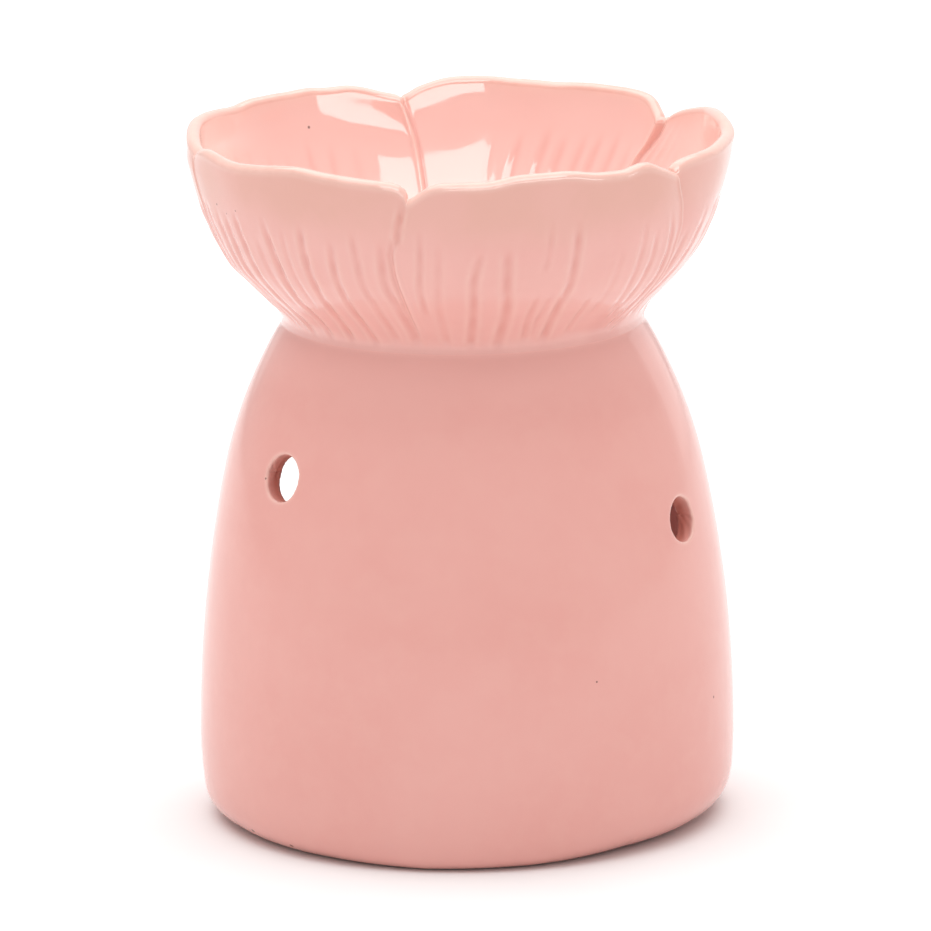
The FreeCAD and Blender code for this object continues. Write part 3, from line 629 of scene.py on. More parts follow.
def body_parts(p):
    x, y, z = p[..., 0], p[..., 1], p[..., 2]
    r = np.sqrt(x * x + y * y)
    low = z < 30.0
    d_out = sample(F_OUT[1], r, z)
    if np.any(low):
        rl, zl = r[low], z[low]
        ang = np.degrees(np.arctan2(x[low], -y[low]))
        rho = np.interp(ang, [q[0] for q in FOOT], [q[1] for q in FOOT])
        lo_, mid_, hi_ = sample(F_OUT[0], rl, zl), d_out[low], sample(F_OUT[2], rl, zl)
        t = (rho - RHOS[1])
        d_out[low] = np.where(t < 0, mid_ + (lo_ - mid_) * t / (RHOS[0] - RHOS[1]),
                              mid_ + (hi_ - mid_) * t / (RHOS[2] - RHOS[1]))
    d_in = sample(F_IN, r, z)
    d_arch = smax(sample(F_ARCH, x, z), 6.0 - y, 0.5)
    d_vents = []
    for rad, c, w in VENTS:
        q = p - c
        # the wall is a little swollen round the bore
        d_in = d_in + 0.5 * np.exp(-((q * q).sum(-1)) / 60.0)
        t = q @ w
        d = np.sqrt(np.maximum((q * q).sum(-1) - t * t, 0.0)) - rad
        # the cutter drags a little: the bore is not quite true
        th = np.arctan2(q[..., 2], q[..., 0])
        d = d - 0.06 * np.sin(3.0 * th + c[0]) - 0.03 * np.sin(8.0 * th + 2.0 * t)
        d_vents.append(np.maximum(d, -(t + 9.0)))
    return d_out, d_in, d_arch, d_vents


def body_field(p):
    d_out, d_in, d_arch, d_vents = body_parts(p)
    k = 2.4 * sstep(p[..., 2], 5.6, 9.5)
    void = smin(d_in, d_arch, k)
    for d in d_vents:
        void = smin(void, d, 0.45)
    return smax(d_out, -void, np.where(p[..., 1] > 8.0, 2.4, 0.60) + 0 * void)


def graded(lo, hi, h, fine, windows):
    """Grid lines h apart, closing up to the fine step in the windows."""
    x = np.linspace(lo, hi, 4001)
    near = np.zeros_like(x)
    for a, b in windows:
        near = np.maximum(near, sstep(x, a - 3.0, a) * sstep(x, b + 3.0, b))
    w = 1.0 / (h - (h - fine) * near)
    c = np.concatenate([[0], np.cumsum(0.5 * (w[1:] + w[:-1]) * np.diff(x))])
    n = int(math.ceil(c[-1])) + 1
    return np.interp(np.linspace(0, c[-1], n), c, x)


def surface_net(fn, gx, gy, gz):
    nx, ny, nz = len(gx), len(gy), len(gz)
    F = np.empty((nx, ny, nz))
    for k in range(0, nx, 16):
        X, Y, Z = np.meshgrid(gx[k:k + 16], gy, gz, indexing="ij")
        F[k:k + 16] = fn(np.stack([X, Y, Z], -1))
    S = F < 0
    cnt = np.zeros((nx - 1, ny - 1, nz - 1), np.int8)
    for a in (0, 1):
        for b in (0, 1):
            for c in (0, 1):
                cnt += S[a:nx - 1 + a, b:ny - 1 + b, c:nz - 1 + c]
    act = (cnt > 0) & (cnt < 8)
    idx = -np.ones(act.shape, np.int64)
    cells = np.argwhere(act)
    idx[act] = np.arange(len(cells))
    acc = np.zeros((len(cells), 3))
    num = np.zeros(len(cells))
    cx, cy, cz = cells.T
    for ax in range(3):
        o = [b for b in range(3) if b != ax]
        for a in (0, 1):
            for b in (0, 1):
                off0 = [0, 0, 0]
                off0[o[0]], off0[o[1]] = a, b
                off1 = list(off0)
                off1[ax] = 1
                f0 = F[cx + off0[0], cy + off0[1], cz + off0[2]]
                f1 = F[cx + off1[0], cy + off1[1], cz + off1[2]]
                hit = (f0 < 0) != (f1 < 0)
                t = np.where(hit, f0 / np.where(f0 == f1, 1, f0 - f1), 0)
                pt = np.tile(np.array(off0, float), (len(cells), 1))
                pt[:, ax] += t
                acc[hit] += pt[hit]
                num[hit] += 1
    at = cells + acc / num[:, None]
    co = np.stack([np.interp(at[:, a], np.arange(len(g)), g) for a, g in enumerate((gx, gy, gz))], -1)
    quads = []
    for ax in range(3):
        o = [(ax + 1) % 3, (ax + 2) % 3]
        sl0 = [slice(1, -1)] * 3
        sl0[ax] = slice(0, -1)
        sl1 = [slice(1, -1)] * 3
        sl1[ax] = slice(1, None)
        s0, s1 = S[tuple(sl0)], S[tuple(sl1)]
        e = np.argwhere(s0 != s1)
        inside_first = s0[tuple(e.T)]
        base = e.copy()
        for b in o:
            base[:, b] += 1

        def cell(d0, d1):
            c = base.copy()
            c[:, o[0]] += d0
            c[:, o[1]] += d1
            return idx[tuple(c.T)]
        q = np.stack([cell(-1, -1), cell(0, -1), cell(0, 0), cell(-1, 0)], -1)
        q[~inside_first] = q[~inside_first][:, ::-1]
        quads.append(q)
    return co, np.vstack(quads)


def field_grad(fn, p, eps=0.03):
    g = np.empty_like(p)
    for ax in range(3):
        d = np.zeros(3)
        d[ax] = eps
        g[:, ax] = (fn(p + d) - fn(p - d)) / (2 * eps)
    return g


def settle(fn, co, quads, rounds):
    """Even the vertices out along the surface and bring them onto it."""
    edges = np.vstack([quads[:, [0, 1]], quads[:, [1, 2]], quads[:, [2, 3]], quads[:, [3, 0]]])
    edges = np.unique(np.sort(edges, 1), axis=0)
    deg = np.bincount(edges.ravel(), minlength=len(co)).astype(float)
    for k in range(rounds + 1):
        if k < rounds:
            s = np.zeros_like(co)
            for a in range(3):
                s[:, a] = (np.bincount(edges[:, 0], co[edges[:, 1], a], len(co))
                           + np.bincount(edges[:, 1], co[edges[:, 0], a], len(co)))
            move = s / deg[:, None] - co
            g = field_grad(fn, co)
            n = g / np.maximum(np.linalg.norm(g, axis=1, keepdims=True), 1e-9)
            move -= (move * n).sum(1, keepdims=True) * n
            co = co + 0.55 * move
        for _ in range(2 if k < rounds else 4):
            f = fn(co)
            g = field_grad(fn, co)
            step = f[:, None] * g / np.maximum((g * g).sum(1, keepdims=True), 0.2)
            co = co - np.clip(step, -0.5, 0.5)
    g = field_grad(fn, co)
    return co, g / np.maximum(np.linalg.norm(g, axis=1, keepdims=True), 1e-9)


def build_body():
    h, fine = 0.88, 0.37
    co, quads = surface_net(body_field, graded(-52.3, 52.3, h, fine, [(-42.3, -33.6), (31.2, 38.6)]),
                            graded(-52.3, 52.3, h, fine, [(-34.0, -16.4)]),
                            graded(-2.1, 96.2, h, fine, [(54.0, 74.2)]))
    co, nrm = settle(body_field, co, quads, 3)
    d_out, d_in, d_arch, d_vents = body_parts(co)
    cut = np.abs(d_arch)
    for d in d_vents:
        cut = np.minimum(cut, np.abs(d))
    thin = np.exp(-(d_out ** 2 + cut ** 2) / np.where(co[:, 1] > 8.0, 0.8, 0.5) ** 2)
    thin = np.maximum(thin, 0.7 * np.exp(-(d_in ** 2 + cut ** 2) / 0.8 ** 2))
    bore = np.zeros(len(co))
    for d in d_vents:
        bore = np.maximum(bore, np.exp(-(d / 0.35) ** 2) * sstep(d_out, -0.35, -1.2))
    inside = sstep(np.abs(d_out) - np.abs(d_in), -1.0, 1.0) * sstep(co[:, 2], 4.2, 5.2)
    pool = np.zeros(len(co))
    under = sstep(np.hypot(co[:, 0], co[:, 1]), 38.4, 37.2) * sstep(co[:, 2], 2.6, 2.0)
    # slow unevenness of the casting, nothing at the foot and the neck
    live = sstep(co[:, 2], 4.0, 14.0) * sstep(co[:, 2], 92.4, 84.0)
    wave = (np.sin(co[:, 0] * 0.11 + 0.6) * np.sin(co[:, 2] * 0.09 + 1.1)
            + 0.6 * np.sin(co[:, 1] * 0.13 + co[:, 2] * 0.07)) * 0.05 * live
    co = co + nrm * (wave - 0.05 * live)[:, None]
    return mesh_piece("burner_body_glazed", co, quads, None,
                      {"pool": pool, "thin": thin, "inside": inside, "foot": under, "bore": bore},
                      normals=nrm)


# ---------------------------------------------------------------------------
# Materials
# ---------------------------------------------------------------------------
def srgb(r, g, b):
    def lin(v):
        v /= 255.0
        return v / 12.92 if v <= 0.04045 else ((v + 0.055) / 1.055) ** 2.4
    return (lin(r), lin(g), lin(b), 1.0)


class Graph:
    def __init__(self, name):
        self.mat = bpy.data.materials.new(name)
        self.mat.use_nodes = True
        self.nt = self.mat.node_tree
        self.nt.nodes.clear()
        self.out = self.node("ShaderNodeOutputMaterial")
        self.bsdf = self.node("ShaderNodeBsdfPrincipled")
        self.link(self.bsdf, "BSDF", self.out, "Surface")
        self.pos = self.node("ShaderNodeTexCoord")

    def node(self, kind, **props):
        n = self.nt.nodes.new(kind)
        for k, v in props.items():
            setattr(n, k, v)
        return n

    def link(self, a, sa, b, sb):
        self.nt.links.new(a.outputs[sa], b.inputs[sb])

    def noise(self, scale, detail=2.0, rough=0.5, stretch=None):
        n = self.node("ShaderNodeTexNoise")
        n.inputs["Scale"].default_value = scale
        n.inputs["Detail"].default_value = detail
        n.inputs["Roughness"].default_value = rough
        if stretch:
            m = self.node("ShaderNodeMapping")
            m.inputs["Scale"].default_value = stretch
            self.link(self.pos, "Object", m, "Vector")
            self.link(m, "Vector", n, "Vector")
        else:
            self.link(self.pos, "Object", n, "Vector")
        return n, "Fac"

    def attr(self, name):
        n = self.node("ShaderNodeAttribute", attribute_name=name)
        return n, "Fac"

    def ramp(self, src, a, b, lo=0.0, hi=1.0, kind="SMOOTHSTEP"):
        n = self.node("ShaderNodeMapRange", interpolation_type=kind)
        n.inputs["From Min"].default_value = a
        n.inputs["From Max"].default_value = b
        n.inputs["To Min"].default_value = lo
        n.inputs["To Max"].default_value = hi
        self.nt.links.new(src[0].outputs[src[1]], n.inputs["Value"])
        return n, "Result"

    def math(self, op, a, b=None):
        n = self.node("ShaderNodeMath", operation=op)
        for i, v in enumerate((a, b)):
            if v is None:
                continue
            if isinstance(v, tuple):
                self.nt.links.new(v[0].outputs[v[1]], n.inputs[i])
            else:
                n.inputs[i].default_value = v
        return n, "Value"

    def mix(self, fac, a, b, blend="MIX"):
        n = self.node("ShaderNodeMix", data_type="RGBA", blend_type=blend, clamp_factor=True)
        self.nt.links.new(fac[0].outputs[fac[1]], n.inputs["Factor"])
        for sock, v in ((n.inputs[6], a), (n.inputs[7], b)):
            if isinstance(v[0], bpy.types.Node):
                self.nt.links.new(v[0].outputs[v[1]], sock)
            else:
                sock.default_value = v
        return n, 2

    def bump(self, src, strength, dist, prev=None):
        n = self.node("ShaderNodeBump")
        n.inputs["Strength"].default_value = strength
        n.inputs["Distance"].default_value = dist
        self.nt.links.new(src[0].outputs[src[1]], n.inputs["Height"])
        if prev:
            self.link(prev, "Normal", n, "Normal")
        return n

    def color(self, src):
        self.nt.links.new(src[0].outputs[src[1]], self.bsdf.inputs["Base Color"])

    def rough(self, src):
        self.nt.links.new(src[0].outputs[src[1]], self.bsdf.inputs["Roughness"])

    def normal(self, n):
        self.link(n, "Normal", self.bsdf, "Normal")

    def spot(self, centre, radius):
        """1 inside a small round speck."""
        n = self.node("ShaderNodeVectorMath", operation="DISTANCE")
        self.link(self.pos, "Object", n, 0)
        n.inputs[1].default_value = tuple(c * MM for c in centre)
        return self.ramp((n, "Value"), radius * MM, 0.45 * radius * MM)


def glaze(name, base, deep, pale, specks, inside_light_and_shade=None, band=None, tip=None):
    g = Graph(name)
    cloud = g.ramp(g.noise(38.0, 3.0, 0.55), 0.34, 0.68)
    mottle = g.ramp(g.noise(160.0, 4.0, 0.6), 0.40, 0.70)
    c = g.mix(cloud, base, tuple(v * k for v, k in zip(base[:3], (0.98, 0.945, 0.94))) + (1.0,))
    c = g.mix(g.math("MULTIPLY", mottle, 0.35), c, tuple(min(1, v * k) for v, k in zip(base[:3], (1.01, 1.05, 1.04))) + (1.0,))
    # painted light and shade: the inside gets its own colour, darker in the barrel for the shade in the chamber,
    # lighter in the bowl for its brightly lit inside
    if inside_light_and_shade is not None:
        c = g.mix(g.attr("inside"), c, inside_light_and_shade)
    # painted light: paler colour on the bowl's inside walls, standing in for light from the sides
    if tip is not None:
        c = g.mix(g.attr("tip"), c, tip)
    if band is not None:
        # the smooth upper part of the petals' outside is darker and tanner, in patches
        z = g.node("ShaderNodeSeparateXYZ")
        g.link(g.pos, "Object", z, 0)
        wob = g.noise(60.0, 2.0, 0.5)
        zz = g.math("ADD", (z, "Z"), g.math("MULTIPLY", g.math("SUBTRACT", wob, 0.5), 0.010))
        up = g.ramp(zz, 0.1135, 0.1225)
        up = g.math("MULTIPLY", up, g.math("SUBTRACT", 1.0, g.attr("inside")))
        patch = g.ramp(g.noise(75.0, 3.0, 0.6), 0.38, 0.62, 0.62, 0.98)
        c = g.mix(g.math("MULTIPLY", up, patch), c, band)
    c = g.mix(g.math("MULTIPLY", g.attr("pool"), 0.75), c, deep)
    wear = g.math("MULTIPLY", g.attr("thin"), g.ramp(g.noise(420.0, 3.0, 0.6), 0.25, 0.60, 0.72, 1.0))
    c = g.mix(g.math("MULTIPLY", wear, 0.62), c, pale)
    spots = None
    for centre, radius in specks:
        s = g.spot(centre, radius)
        spots = s if spots is None else g.math("MAXIMUM", spots, s)
    if spots is not None:
        c = g.mix(g.math("MULTIPLY", spots, 0.8), c, srgb(92, 62, 52))
    g.color(c)
    b = g.bump(g.noise(95.0, 2.0, 0.5), 0.12, 0.0006)
    b = g.bump(g.noise(620.0, 2.0, 0.5), 0.035, 0.0002, b)
    g.normal(b)
    g.rough(g.ramp(g.noise(240.0, 3.0, 0.6), 0.3, 0.75, 0.055, 0.105))
    g.bsdf.inputs["IOR"].default_value = 1.52
    g.bsdf.inputs["Specular IOR Level"].default_value = 0.45
    g.bsdf.inputs["Coat Weight"].default_value = 0.15
    g.bsdf.inputs["Coat Roughness"].default_value = 0.02
    g.bsdf.inputs["Coat IOR"].default_value = 1.5
    return g


def glaze_body():
    base, deep, pale = srgb(231, 169, 160), srgb(210, 136, 126), srgb(244, 208, 194)
    # painted shade: the barrel's inside colour is darker, standing in for the shade inside the chamber
    g = glaze("pink_glaze_body", base, deep, pale, [
        ((-40.21, -17.02, 68.38), 0.26), ((14.87, -46.6, 34.23), 0.26), ((40.64, -28.12, 25.36), 0.34),
        ((-43.76, -18.11, 2.57), 0.58), ((-38.19, -27.02, 1.73), 0.58),
        ((-31.0, 33.5, 24.0), 0.3), ((-12.0, 46.0, 72.0), 0.25),
    ], inside_light_and_shade=srgb(206, 122, 110))
    # painted light: the barrel is lighter at the neck, to lift the shade that the bowl's overhang casts there; the foot
    # ring is wiped clean and shows the biscuit
    c = g.bsdf.inputs["Base Color"].links[0]
    idx = list(c.from_node.outputs).index(c.from_socket)
    z = g.node("ShaderNodeSeparateXYZ")
    g.link(g.pos, "Object", z, 0)
    neck_painted_light = g.math("MULTIPLY", g.ramp((z, "Z"), 0.080, 0.0915), g.math("SUBTRACT", 1.0, g.attr("inside")))
    top = g.mix(g.math("MULTIPLY", neck_painted_light, 0.8), (c.from_node, idx), srgb(243, 183, 174))
    # painted shade: darker, redder colour in the bores of the vents, standing in for the shadow inside the holes
    top = g.mix(g.math("MULTIPLY", g.attr("bore"), 0.6), top, srgb(218, 146, 132))
    m = g.node("ShaderNodeMix", data_type="RGBA", clamp_factor=True)
    g.nt.links.new(top[0].outputs[top[1]], m.inputs[6])
    m.inputs[7].default_value = srgb(236, 214, 196)
    f = g.math("MAXIMUM", g.ramp(g.attr("foot"), 0.25, 0.7), g.ramp((z, "Z"), 0.00026, 0.00008))
    g.nt.links.new(f[0].outputs[f[1]], m.inputs["Factor"])
    g.nt.links.new(m.outputs[2], g.bsdf.inputs["Base Color"])
    # glossy outside, thin dull glaze inside
    dull = g.math("MAXIMUM", g.attr("inside"), g.attr("bore"))
    r = g.bsdf.inputs["Roughness"].links[0]
    g.rough(g.math("ADD", (r.from_node, "Result"), g.math("MULTIPLY", dull, 0.5)))
    spec = g.ramp(dull, 0.0, 1.0, 0.38, 0.12)
    g.nt.links.new(spec[0].outputs[spec[1]], g.bsdf.inputs["Specular IOR Level"])
    g.bsdf.inputs["Coat Weight"].default_value = 0.0
    g.bsdf.inputs["IOR"].default_value = 1.48
    return g.mat


def glaze_bowl():
    base, deep, pale = srgb(236, 177, 168), srgb(220, 145, 134), srgb(243, 203, 190)
    # painted light: the bowl's inside gets a lighter colour for its brightly lit inside, and a paler tip colour on its
    # side walls for light from the sides
    g = glaze("pink_glaze_bowl", base, deep, pale, [
        ((-21.0, 41.7, 121.75), 0.45), ((-47.57, -12.1, 118.54), 0.28), ((-46.34, -15.02, 117.3), 0.26),
        ((-45.3, -18.8, 118.5), 0.22),
    ], inside_light_and_shade=srgb(243, 199, 190), band=srgb(228, 172, 158), tip=srgb(252, 229, 219))
    return g.mat


def aluminium():
    g = Graph("cup_aluminium")
    g.bsdf.inputs["Metallic"].default_value = 1.0
    c = g.mix(g.ramp(g.noise(300.0, 3.0, 0.6, (1, 1, 6)), 0.3, 0.7), srgb(206, 208, 211), srgb(186, 188, 192))
    g.color(c)
    g.rough(g.ramp(g.noise(500.0, 3.0, 0.6, (1, 1, 10)), 0.3, 0.7, 0.22, 0.38))
    b = g.bump(g.noise(900.0, 2.0, 0.5, (1, 1, 14)), 0.12, 0.0001)
    b = g.bump(g.noise(130.0, 2.0, 0.5), 0.15, 0.0003, b)
    g.normal(b)
    return g.mat


def wax():
    g = Graph("white_wax")
    c = g.mix(g.ramp(g.noise(120.0, 4.0, 0.6), 0.35, 0.7), srgb(242, 238, 226), srgb(232, 226, 210))
    g.color(c)
    g.bsdf.inputs["Subsurface Weight"].default_value = 0.35
    g.bsdf.inputs["Subsurface Radius"].default_value = (0.004, 0.0035, 0.0025)
    g.bsdf.inputs["Subsurface Scale"].default_value = 0.6
    g.rough(g.ramp(g.noise(200.0, 3.0, 0.6), 0.3, 0.7, 0.32, 0.48))
    b = g.bump(g.noise(260.0, 3.0, 0.55), 0.2, 0.0003)
    g.normal(b)
    return g.mat


def cotton():
    g = Graph("cotton_wick")
    z = g.node("ShaderNodeSeparateXYZ")
    g.link(g.pos, "Object", z, 0)
    tipz = g.ramp((z, "Z"), 0.0225, 0.0247)
    c = g.mix(g.ramp(g.noise(2500.0, 2.0, 0.5), 0.35, 0.65), srgb(236, 230, 214), srgb(214, 204, 184))
    c = g.mix(g.math("MULTIPLY", tipz, 0.3), c, srgb(200, 190, 168))
    g.color(c)
    g.bsdf.inputs["Roughness"].default_value = 0.8
    g.normal(g.bump(g.noise(3000.0, 3.0, 0.6, (1, 1, 0.5)), 0.5, 0.0001))
    return g.mat


def tin():
    g = Graph("tab_steel")
    g.bsdf.inputs["Metallic"].default_value = 1.0
    c = g.mix(g.ramp(g.noise(700.0, 3.0, 0.6), 0.3, 0.7), srgb(178, 178, 180), srgb(150, 151, 154))
    g.color(c)
    g.rough(g.ramp(g.noise(900.0, 3.0, 0.6), 0.3, 0.7, 0.28, 0.45))
    g.normal(g.bump(g.noise(1500.0, 2.0, 0.5), 0.15, 0.0001))
    return g.mat


# ---------------------------------------------------------------------------
# Tealight
# ---------------------------------------------------------------------------
Z0 = 5.5


def build_cup():
    prof = [(14.6, Z0 + 0.55), (15.2, Z0 + 0.5), (15.7, Z0 + 0.12), (16.1, Z0), (17.6, Z0)]
    for t in np.radians(np.linspace(12, 90, 7)):
        prof.append((17.75 + 1.0 * math.sin(t), Z0 + 1.0 - 1.0 * math.cos(t)))
    for z in np.linspace(2.0, 14.4, 14):
        prof.append((18.75 + 0.25 * (z - 1.0) / 14.4, Z0 + z))
    # rolled rim
    for t in np.radians(np.linspace(-70, 200, 16)):
        prof.append((18.98 + 0.44 * math.cos(t), Z0 + 15.52 + 0.46 * math.sin(t)))
    for z in np.linspace(15.0, 1.6, 14):
        prof.append((18.45 + 0.25 * (z - 1.0) / 14.4, Z0 + z))
    for t in np.radians(np.linspace(80, 5, 6)):
        prof.append((17.6 + 0.85 * math.sin(t), Z0 + 1.15 - 0.85 * math.cos(t)))
    prof += [(16.4, Z0 + 0.3), (15.9, Z0 + 0.42), (15.4, Z0 + 0.8), (14.6, Z0 + 0.85)]
    prof = [(0.5, Z0 + 0.55), (8.0, Z0 + 0.55)] + prof + [(8.0, Z0 + 0.85), (0.5, Z0 + 0.85)]

    def wob(r, z, a):
        # drawing wrinkles, strongest under the rolled rim
        k = np.exp(-((z - Z0 - 12.6) / 2.4) ** 2) * (r > 18.0)
        r = r + 0.035 * k * (np.sin(a * 41) + 0.6 * np.sin(a * 67 + 1.0))
        r = r * (1 + 0.0012 * np.cos(2 * a + 0.7))
        return r, z
    return lathe("tealight_cup_drawn", prof, 192, wobble=wob)


def build_wax():
    top = Z0 + 11.8
    prof = [(1.5, Z0 + 0.9), (15.3, Z0 + 0.9), (17.2, Z0 + 0.9)]
    for t in np.radians(np.linspace(10, 90, 6)):
        prof.append((17.4 + 0.95 * math.sin(t), Z0 + 1.9 - 0.95 * math.cos(t)))
    for z in np.linspace(3.0, 12.0, 8):
        prof.append((18.38 + 0.02 * z, Z0 + z))
    prof += [(18.55, Z0 + 12.28), (18.2, Z0 + 12.2), (17.7, Z0 + 11.98), (17.0, Z0 + 11.84), (16.0, top)]
    for r in np.linspace(15.0, 3.2, 14):
        prof.append((r, top - 0.10 * (1 - (r / 15.5) ** 2)))
    prof += [(2.4, top - 0.12), (1.7, top - 0.06), (1.25, top + 0.10), (0.95, top + 0.34), (0.7, top + 0.42)]

    def wob(r, z, a):
        k = sstep(z, top - 0.6, top - 0.2)
        z = z + k * 0.05 * (np.sin(r * 0.5 + 2 * a) + np.sin(r * 0.9 - 3 * a + 1.0)) * sstep(r, 1.5, 4.0)
        return r, z
    return lathe("tealight_wax_poured", prof, 144, wobble=wob)


def build_wick():
    """Braided wick: a three-strand section twisting up, with a small lean."""
    n, m = 36, 90
    a = np.arange(n) / n * 2 * math.pi
    zs = np.linspace(Z0 + 0.5, Z0 + 19.1, m)
    rows = []
    for z in zs:
        t = (z - Z0) * 2.3
        r = 0.60 + 0.075 * np.cos(3 * (a - t)) + 0.035 * np.cos(6 * (a + 1.6 * t))
        r = r * (1.0 - 0.35 * float(sstep(z, Z0 + 18.4, Z0 + 19.2)))
        lean = 0.16 * max(0.0, (z - Z0 - 12.0) / 7.0) ** 2
        rows.append(np.stack([r * np.sin(a) + lean * 0.6, -r * np.cos(a) + lean * 0.35, np.full(n, z)], -1))
    co = np.vstack(rows)
    i = np.arange(n)
    ii, jj = np.meshgrid(i, np.arange(m - 1))
    i2 = (ii + 1) % n
    quads = np.stack([jj * n + ii, jj * n + i2, (jj + 1) * n + i2, (jj + 1) * n + ii], -1).reshape(-1, 4)
    c0, c1 = len(co), len(co) + 1
    co = np.vstack([co, rows[0].mean(0), rows[-1].mean(0) + [0, 0, 0.1]])
    b = (m - 1) * n
    tris = np.vstack([np.stack([np.full(n, c0), (i + 1) % n, i], -1),
                      np.stack([b + i, b + (i + 1) % n, np.full(n, c1)], -1)])
    return mesh_piece("wick_braided", co, quads, tris)


def build_tab():
    """Sustainer: flat tinned disc with a crimped collar."""
    prof = [(0.76, Z0 + 0.3), (2.2, Z0 + 0.3), (6.0, Z0 + 0.3), (6.2, Z0 + 0.36), (6.25, Z0 + 0.45),
            (6.2, Z0 + 0.56), (6.0, Z0 + 0.6), (5.0, Z0 + 0.6), (4.8, Z0 + 0.66), (4.4, Z0 + 0.66), (4.2, Z0 + 0.6),
            (2.0, Z0 + 0.62), (1.55, Z0 + 0.75), (1.32, Z0 + 1.1), (1.28, Z0 + 1.8), (1.22, Z0 + 2.6),
            (1.15, Z0 + 3.3), (1.08, Z0 + 3.55), (0.92, Z0 + 3.6), (0.80, Z0 + 3.5), (0.76, Z0 + 3.3), (0.76, Z0 + 1.5)]
    ob_prof = np.array(prof)
    n = 96
    ang = np.arange(n) / n * 2 * math.pi
    r = np.repeat(ob_prof[:, :1], n, 1)
    z = np.repeat(ob_prof[:, 1:], n, 1)
    crimp = (z > Z0 + 1.2) * (r > 0.9)
    r = r * (1 - 0.05 * crimp * (np.cos(4 * ang)[None, :] > 0.6))
    co = np.stack([r * np.sin(ang), -r * np.cos(ang), z], -1).reshape(-1, 3)
    m = len(prof)
    ii, jj = np.meshgrid(np.arange(n), np.arange(m))
    i2, j2 = (ii + 1) % n, (jj + 1) % m
    quads = np.stack([jj * n + ii, jj * n + i2, j2 * n + i2, j2 * n + ii], -1).reshape(-1, 4)
    return mesh_piece("wick_tab_crimped", co, quads)


# ---------------------------------------------------------------------------
# Build
# ---------------------------------------------------------------------------
def place(ob, body, node, mat):
    ob.data.materials.append(mat)
    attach(ob, body)
    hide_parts(node)


barrel = build_body()
place(barrel, "burner", "burner_body", glaze_body())
bowl = build_bowl()
place(bowl, "burner", "flower_bowl", glaze_bowl())
place(build_cup(), "tealight", "tealight_cup", aluminium())
place(build_wax(), "tealight", "tealight_wax", wax())
place(build_wick(), "tealight", "wick", cotton())
place(build_tab(), "tealight", "wick_sustainer", tin())

# ---------------------------------------------------------------------------
# Stage and light
# ---------------------------------------------------------------------------


def stage():
    """Round paper floor, far larger than the view."""
    n, rad = 96, [0.0, 0.2, 0.5, 1.0, 1.8, 2.6, 3.4]
    co, faces = [(0.0, 0.0, 0.0)], []
    for r in rad[1:]:
        for i in range(n):
            a = 2 * math.pi * i / n
            co.append((r * math.cos(a), r * math.sin(a), 0.0))
    for i in range(n):
        faces.append((0, 1 + i, 1 + (i + 1) % n))
    for k in range(len(rad) - 2):
        b = 1 + k * n
        for i in range(n):
            j = (i + 1) % n
            faces.append((b + i, b + n + i, b + n + j, b + j))
    me = bpy.data.meshes.new("studio_floor")
    me.from_pydata(co, [], faces)
    ob = bpy.data.objects.new("studio_floor", me)
    bpy.context.scene.collection.objects.link(ob)
    g = Graph("studio_paper")
    c = g.mix(g.ramp(g.noise(30.0, 2.0, 0.5), 0.3, 0.7), (0.88, 0.88, 0.88, 1), (0.87, 0.87, 0.87, 1))
    g.color(c)
    g.bsdf.inputs["Roughness"].default_value = 0.95
    g.bsdf.inputs["Specular IOR Level"].default_value = 0.1
    ob.data.materials.append(g.mat)
    return ob


stage()


def softbox(name, loc, target, size_x, size_y, power, color=(1, 1, 1)):
    li = bpy.data.lights.new(name, "AREA")
    li.shape = "RECTANGLE"
    li.size, li.size_y = size_x, size_y
    li.energy = power
    li.color = color
    ob = bpy.data.objects.new(name, li)
    bpy.context.scene.collection.objects.link(ob)
    ob.location = loc
    ob.rotation_mode = "QUATERNION"
    ob.rotation_quaternion = (Vector(target) - Vector(loc)).to_track_quat("-Z", "Y")
    return ob


def toward(az, el, dist, height):
    """Point seen from the bowl at an azimuth and elevation, degrees."""
    a, e = math.radians(az), math.radians(el)
    return (dist * math.sin(a) * math.cos(e), -dist * math.cos(a) * math.cos(e), height + dist * math.sin(e))


softbox("overhead", (0.0, 0.15, 1.5), (0, 0, 0.05), 2.2, 2.0, 30.0)
# two cards that are flagged off the barrel and only play in the bowl
cards = bpy.data.collections.new("bowl_only")
cards.objects.link(bowl)
for card in (softbox("card_upper", toward(3.0, 46.0, 1.4, 0.12), (0, 0, 0.12), 1.34, 0.68, 16.5),
             softbox("card_low", toward(14.0, 8.4, 1.4, 0.12), (0, 0, 0.12), 2.4, 0.32, 15.3)):
    card.light_linking.receiver_collection = cards
    card.visible_diffuse = False
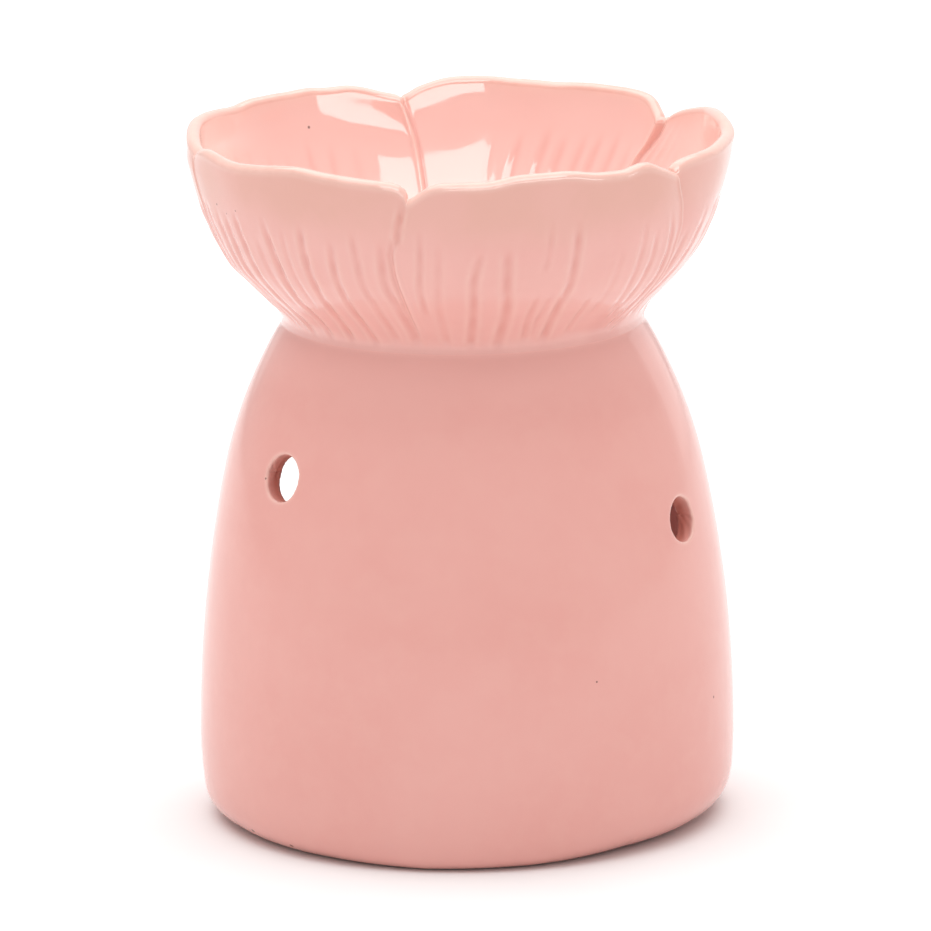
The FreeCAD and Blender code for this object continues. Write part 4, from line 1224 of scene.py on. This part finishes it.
# a tall card at the right rear: the bright band on the barrel's shoulder
side_card = bpy.data.collections.new("barrel_only")
side_card.objects.link(barrel)
card = softbox("card_side", toward(131.0, 16.0, 1.4, 0.08), (0, 0, 0.08), 0.60, 0.96, 0.75)
card.light_linking.receiver_collection = side_card
card.visible_diffuse = False

# white surroundings: the backdrop stands behind the part and comes round on the right
world = bpy.data.worlds.new("studio")
bpy.context.scene.world = world
world.use_nodes = True
wn = world.node_tree
bg = wn.nodes["Background"]
bg.inputs["Color"].default_value = (1.0, 0.995, 0.99, 1)
coord = wn.nodes.new("ShaderNodeTexCoord")
turn = wn.nodes.new("ShaderNodeMapping")
turn.inputs["Rotation"].default_value = (0.0, 0.0, -AZ + math.radians(12.0))
wn.links.new(coord.outputs["Generated"], turn.inputs["Vector"])
axes = wn.nodes.new("ShaderNodeSeparateXYZ")
wn.links.new(turn.outputs["Vector"], axes.inputs[0])


def fade(axis, lo, hi, out_lo, out_hi, absolute=False):
    src = axes.outputs[axis]
    if absolute:
        m = wn.nodes.new("ShaderNodeMath")
        m.operation = "ABSOLUTE"
        wn.links.new(src, m.inputs[0])
        src = m.outputs[0]
    n = wn.nodes.new("ShaderNodeMapRange")
    n.interpolation_type = "SMOOTHSTEP"
    for key, val in (("From Min", lo), ("From Max", hi), ("To Min", out_lo), ("To Max", out_hi)):
        n.inputs[key].default_value = val
    wn.links.new(src, n.inputs["Value"])
    return n.outputs["Result"]


def plus(a, b):
    n = wn.nodes.new("ShaderNodeMath")
    n.operation = "ADD"
    wn.links.new(a, n.inputs[0])
    wn.links.new(b, n.inputs[1])
    return n.outputs[0]


# the edge of the white backdrop is sharp enough to read in the glaze
total = plus(fade("Y", 0.735, 0.765, 0.66, 0.91), fade("Y", 0.78, 0.98, 0.0, 0.03))
total = plus(total, fade("X", 0.45, 0.95, 0.0, 0.04, True))
wn.links.new(total, bg.inputs["Strength"])

bpy.context.scene.view_settings.view_transform = "Standard"
bpy.context.scene.view_settings.look = "None"
bpy.context.scene.view_settings.exposure = 0.0
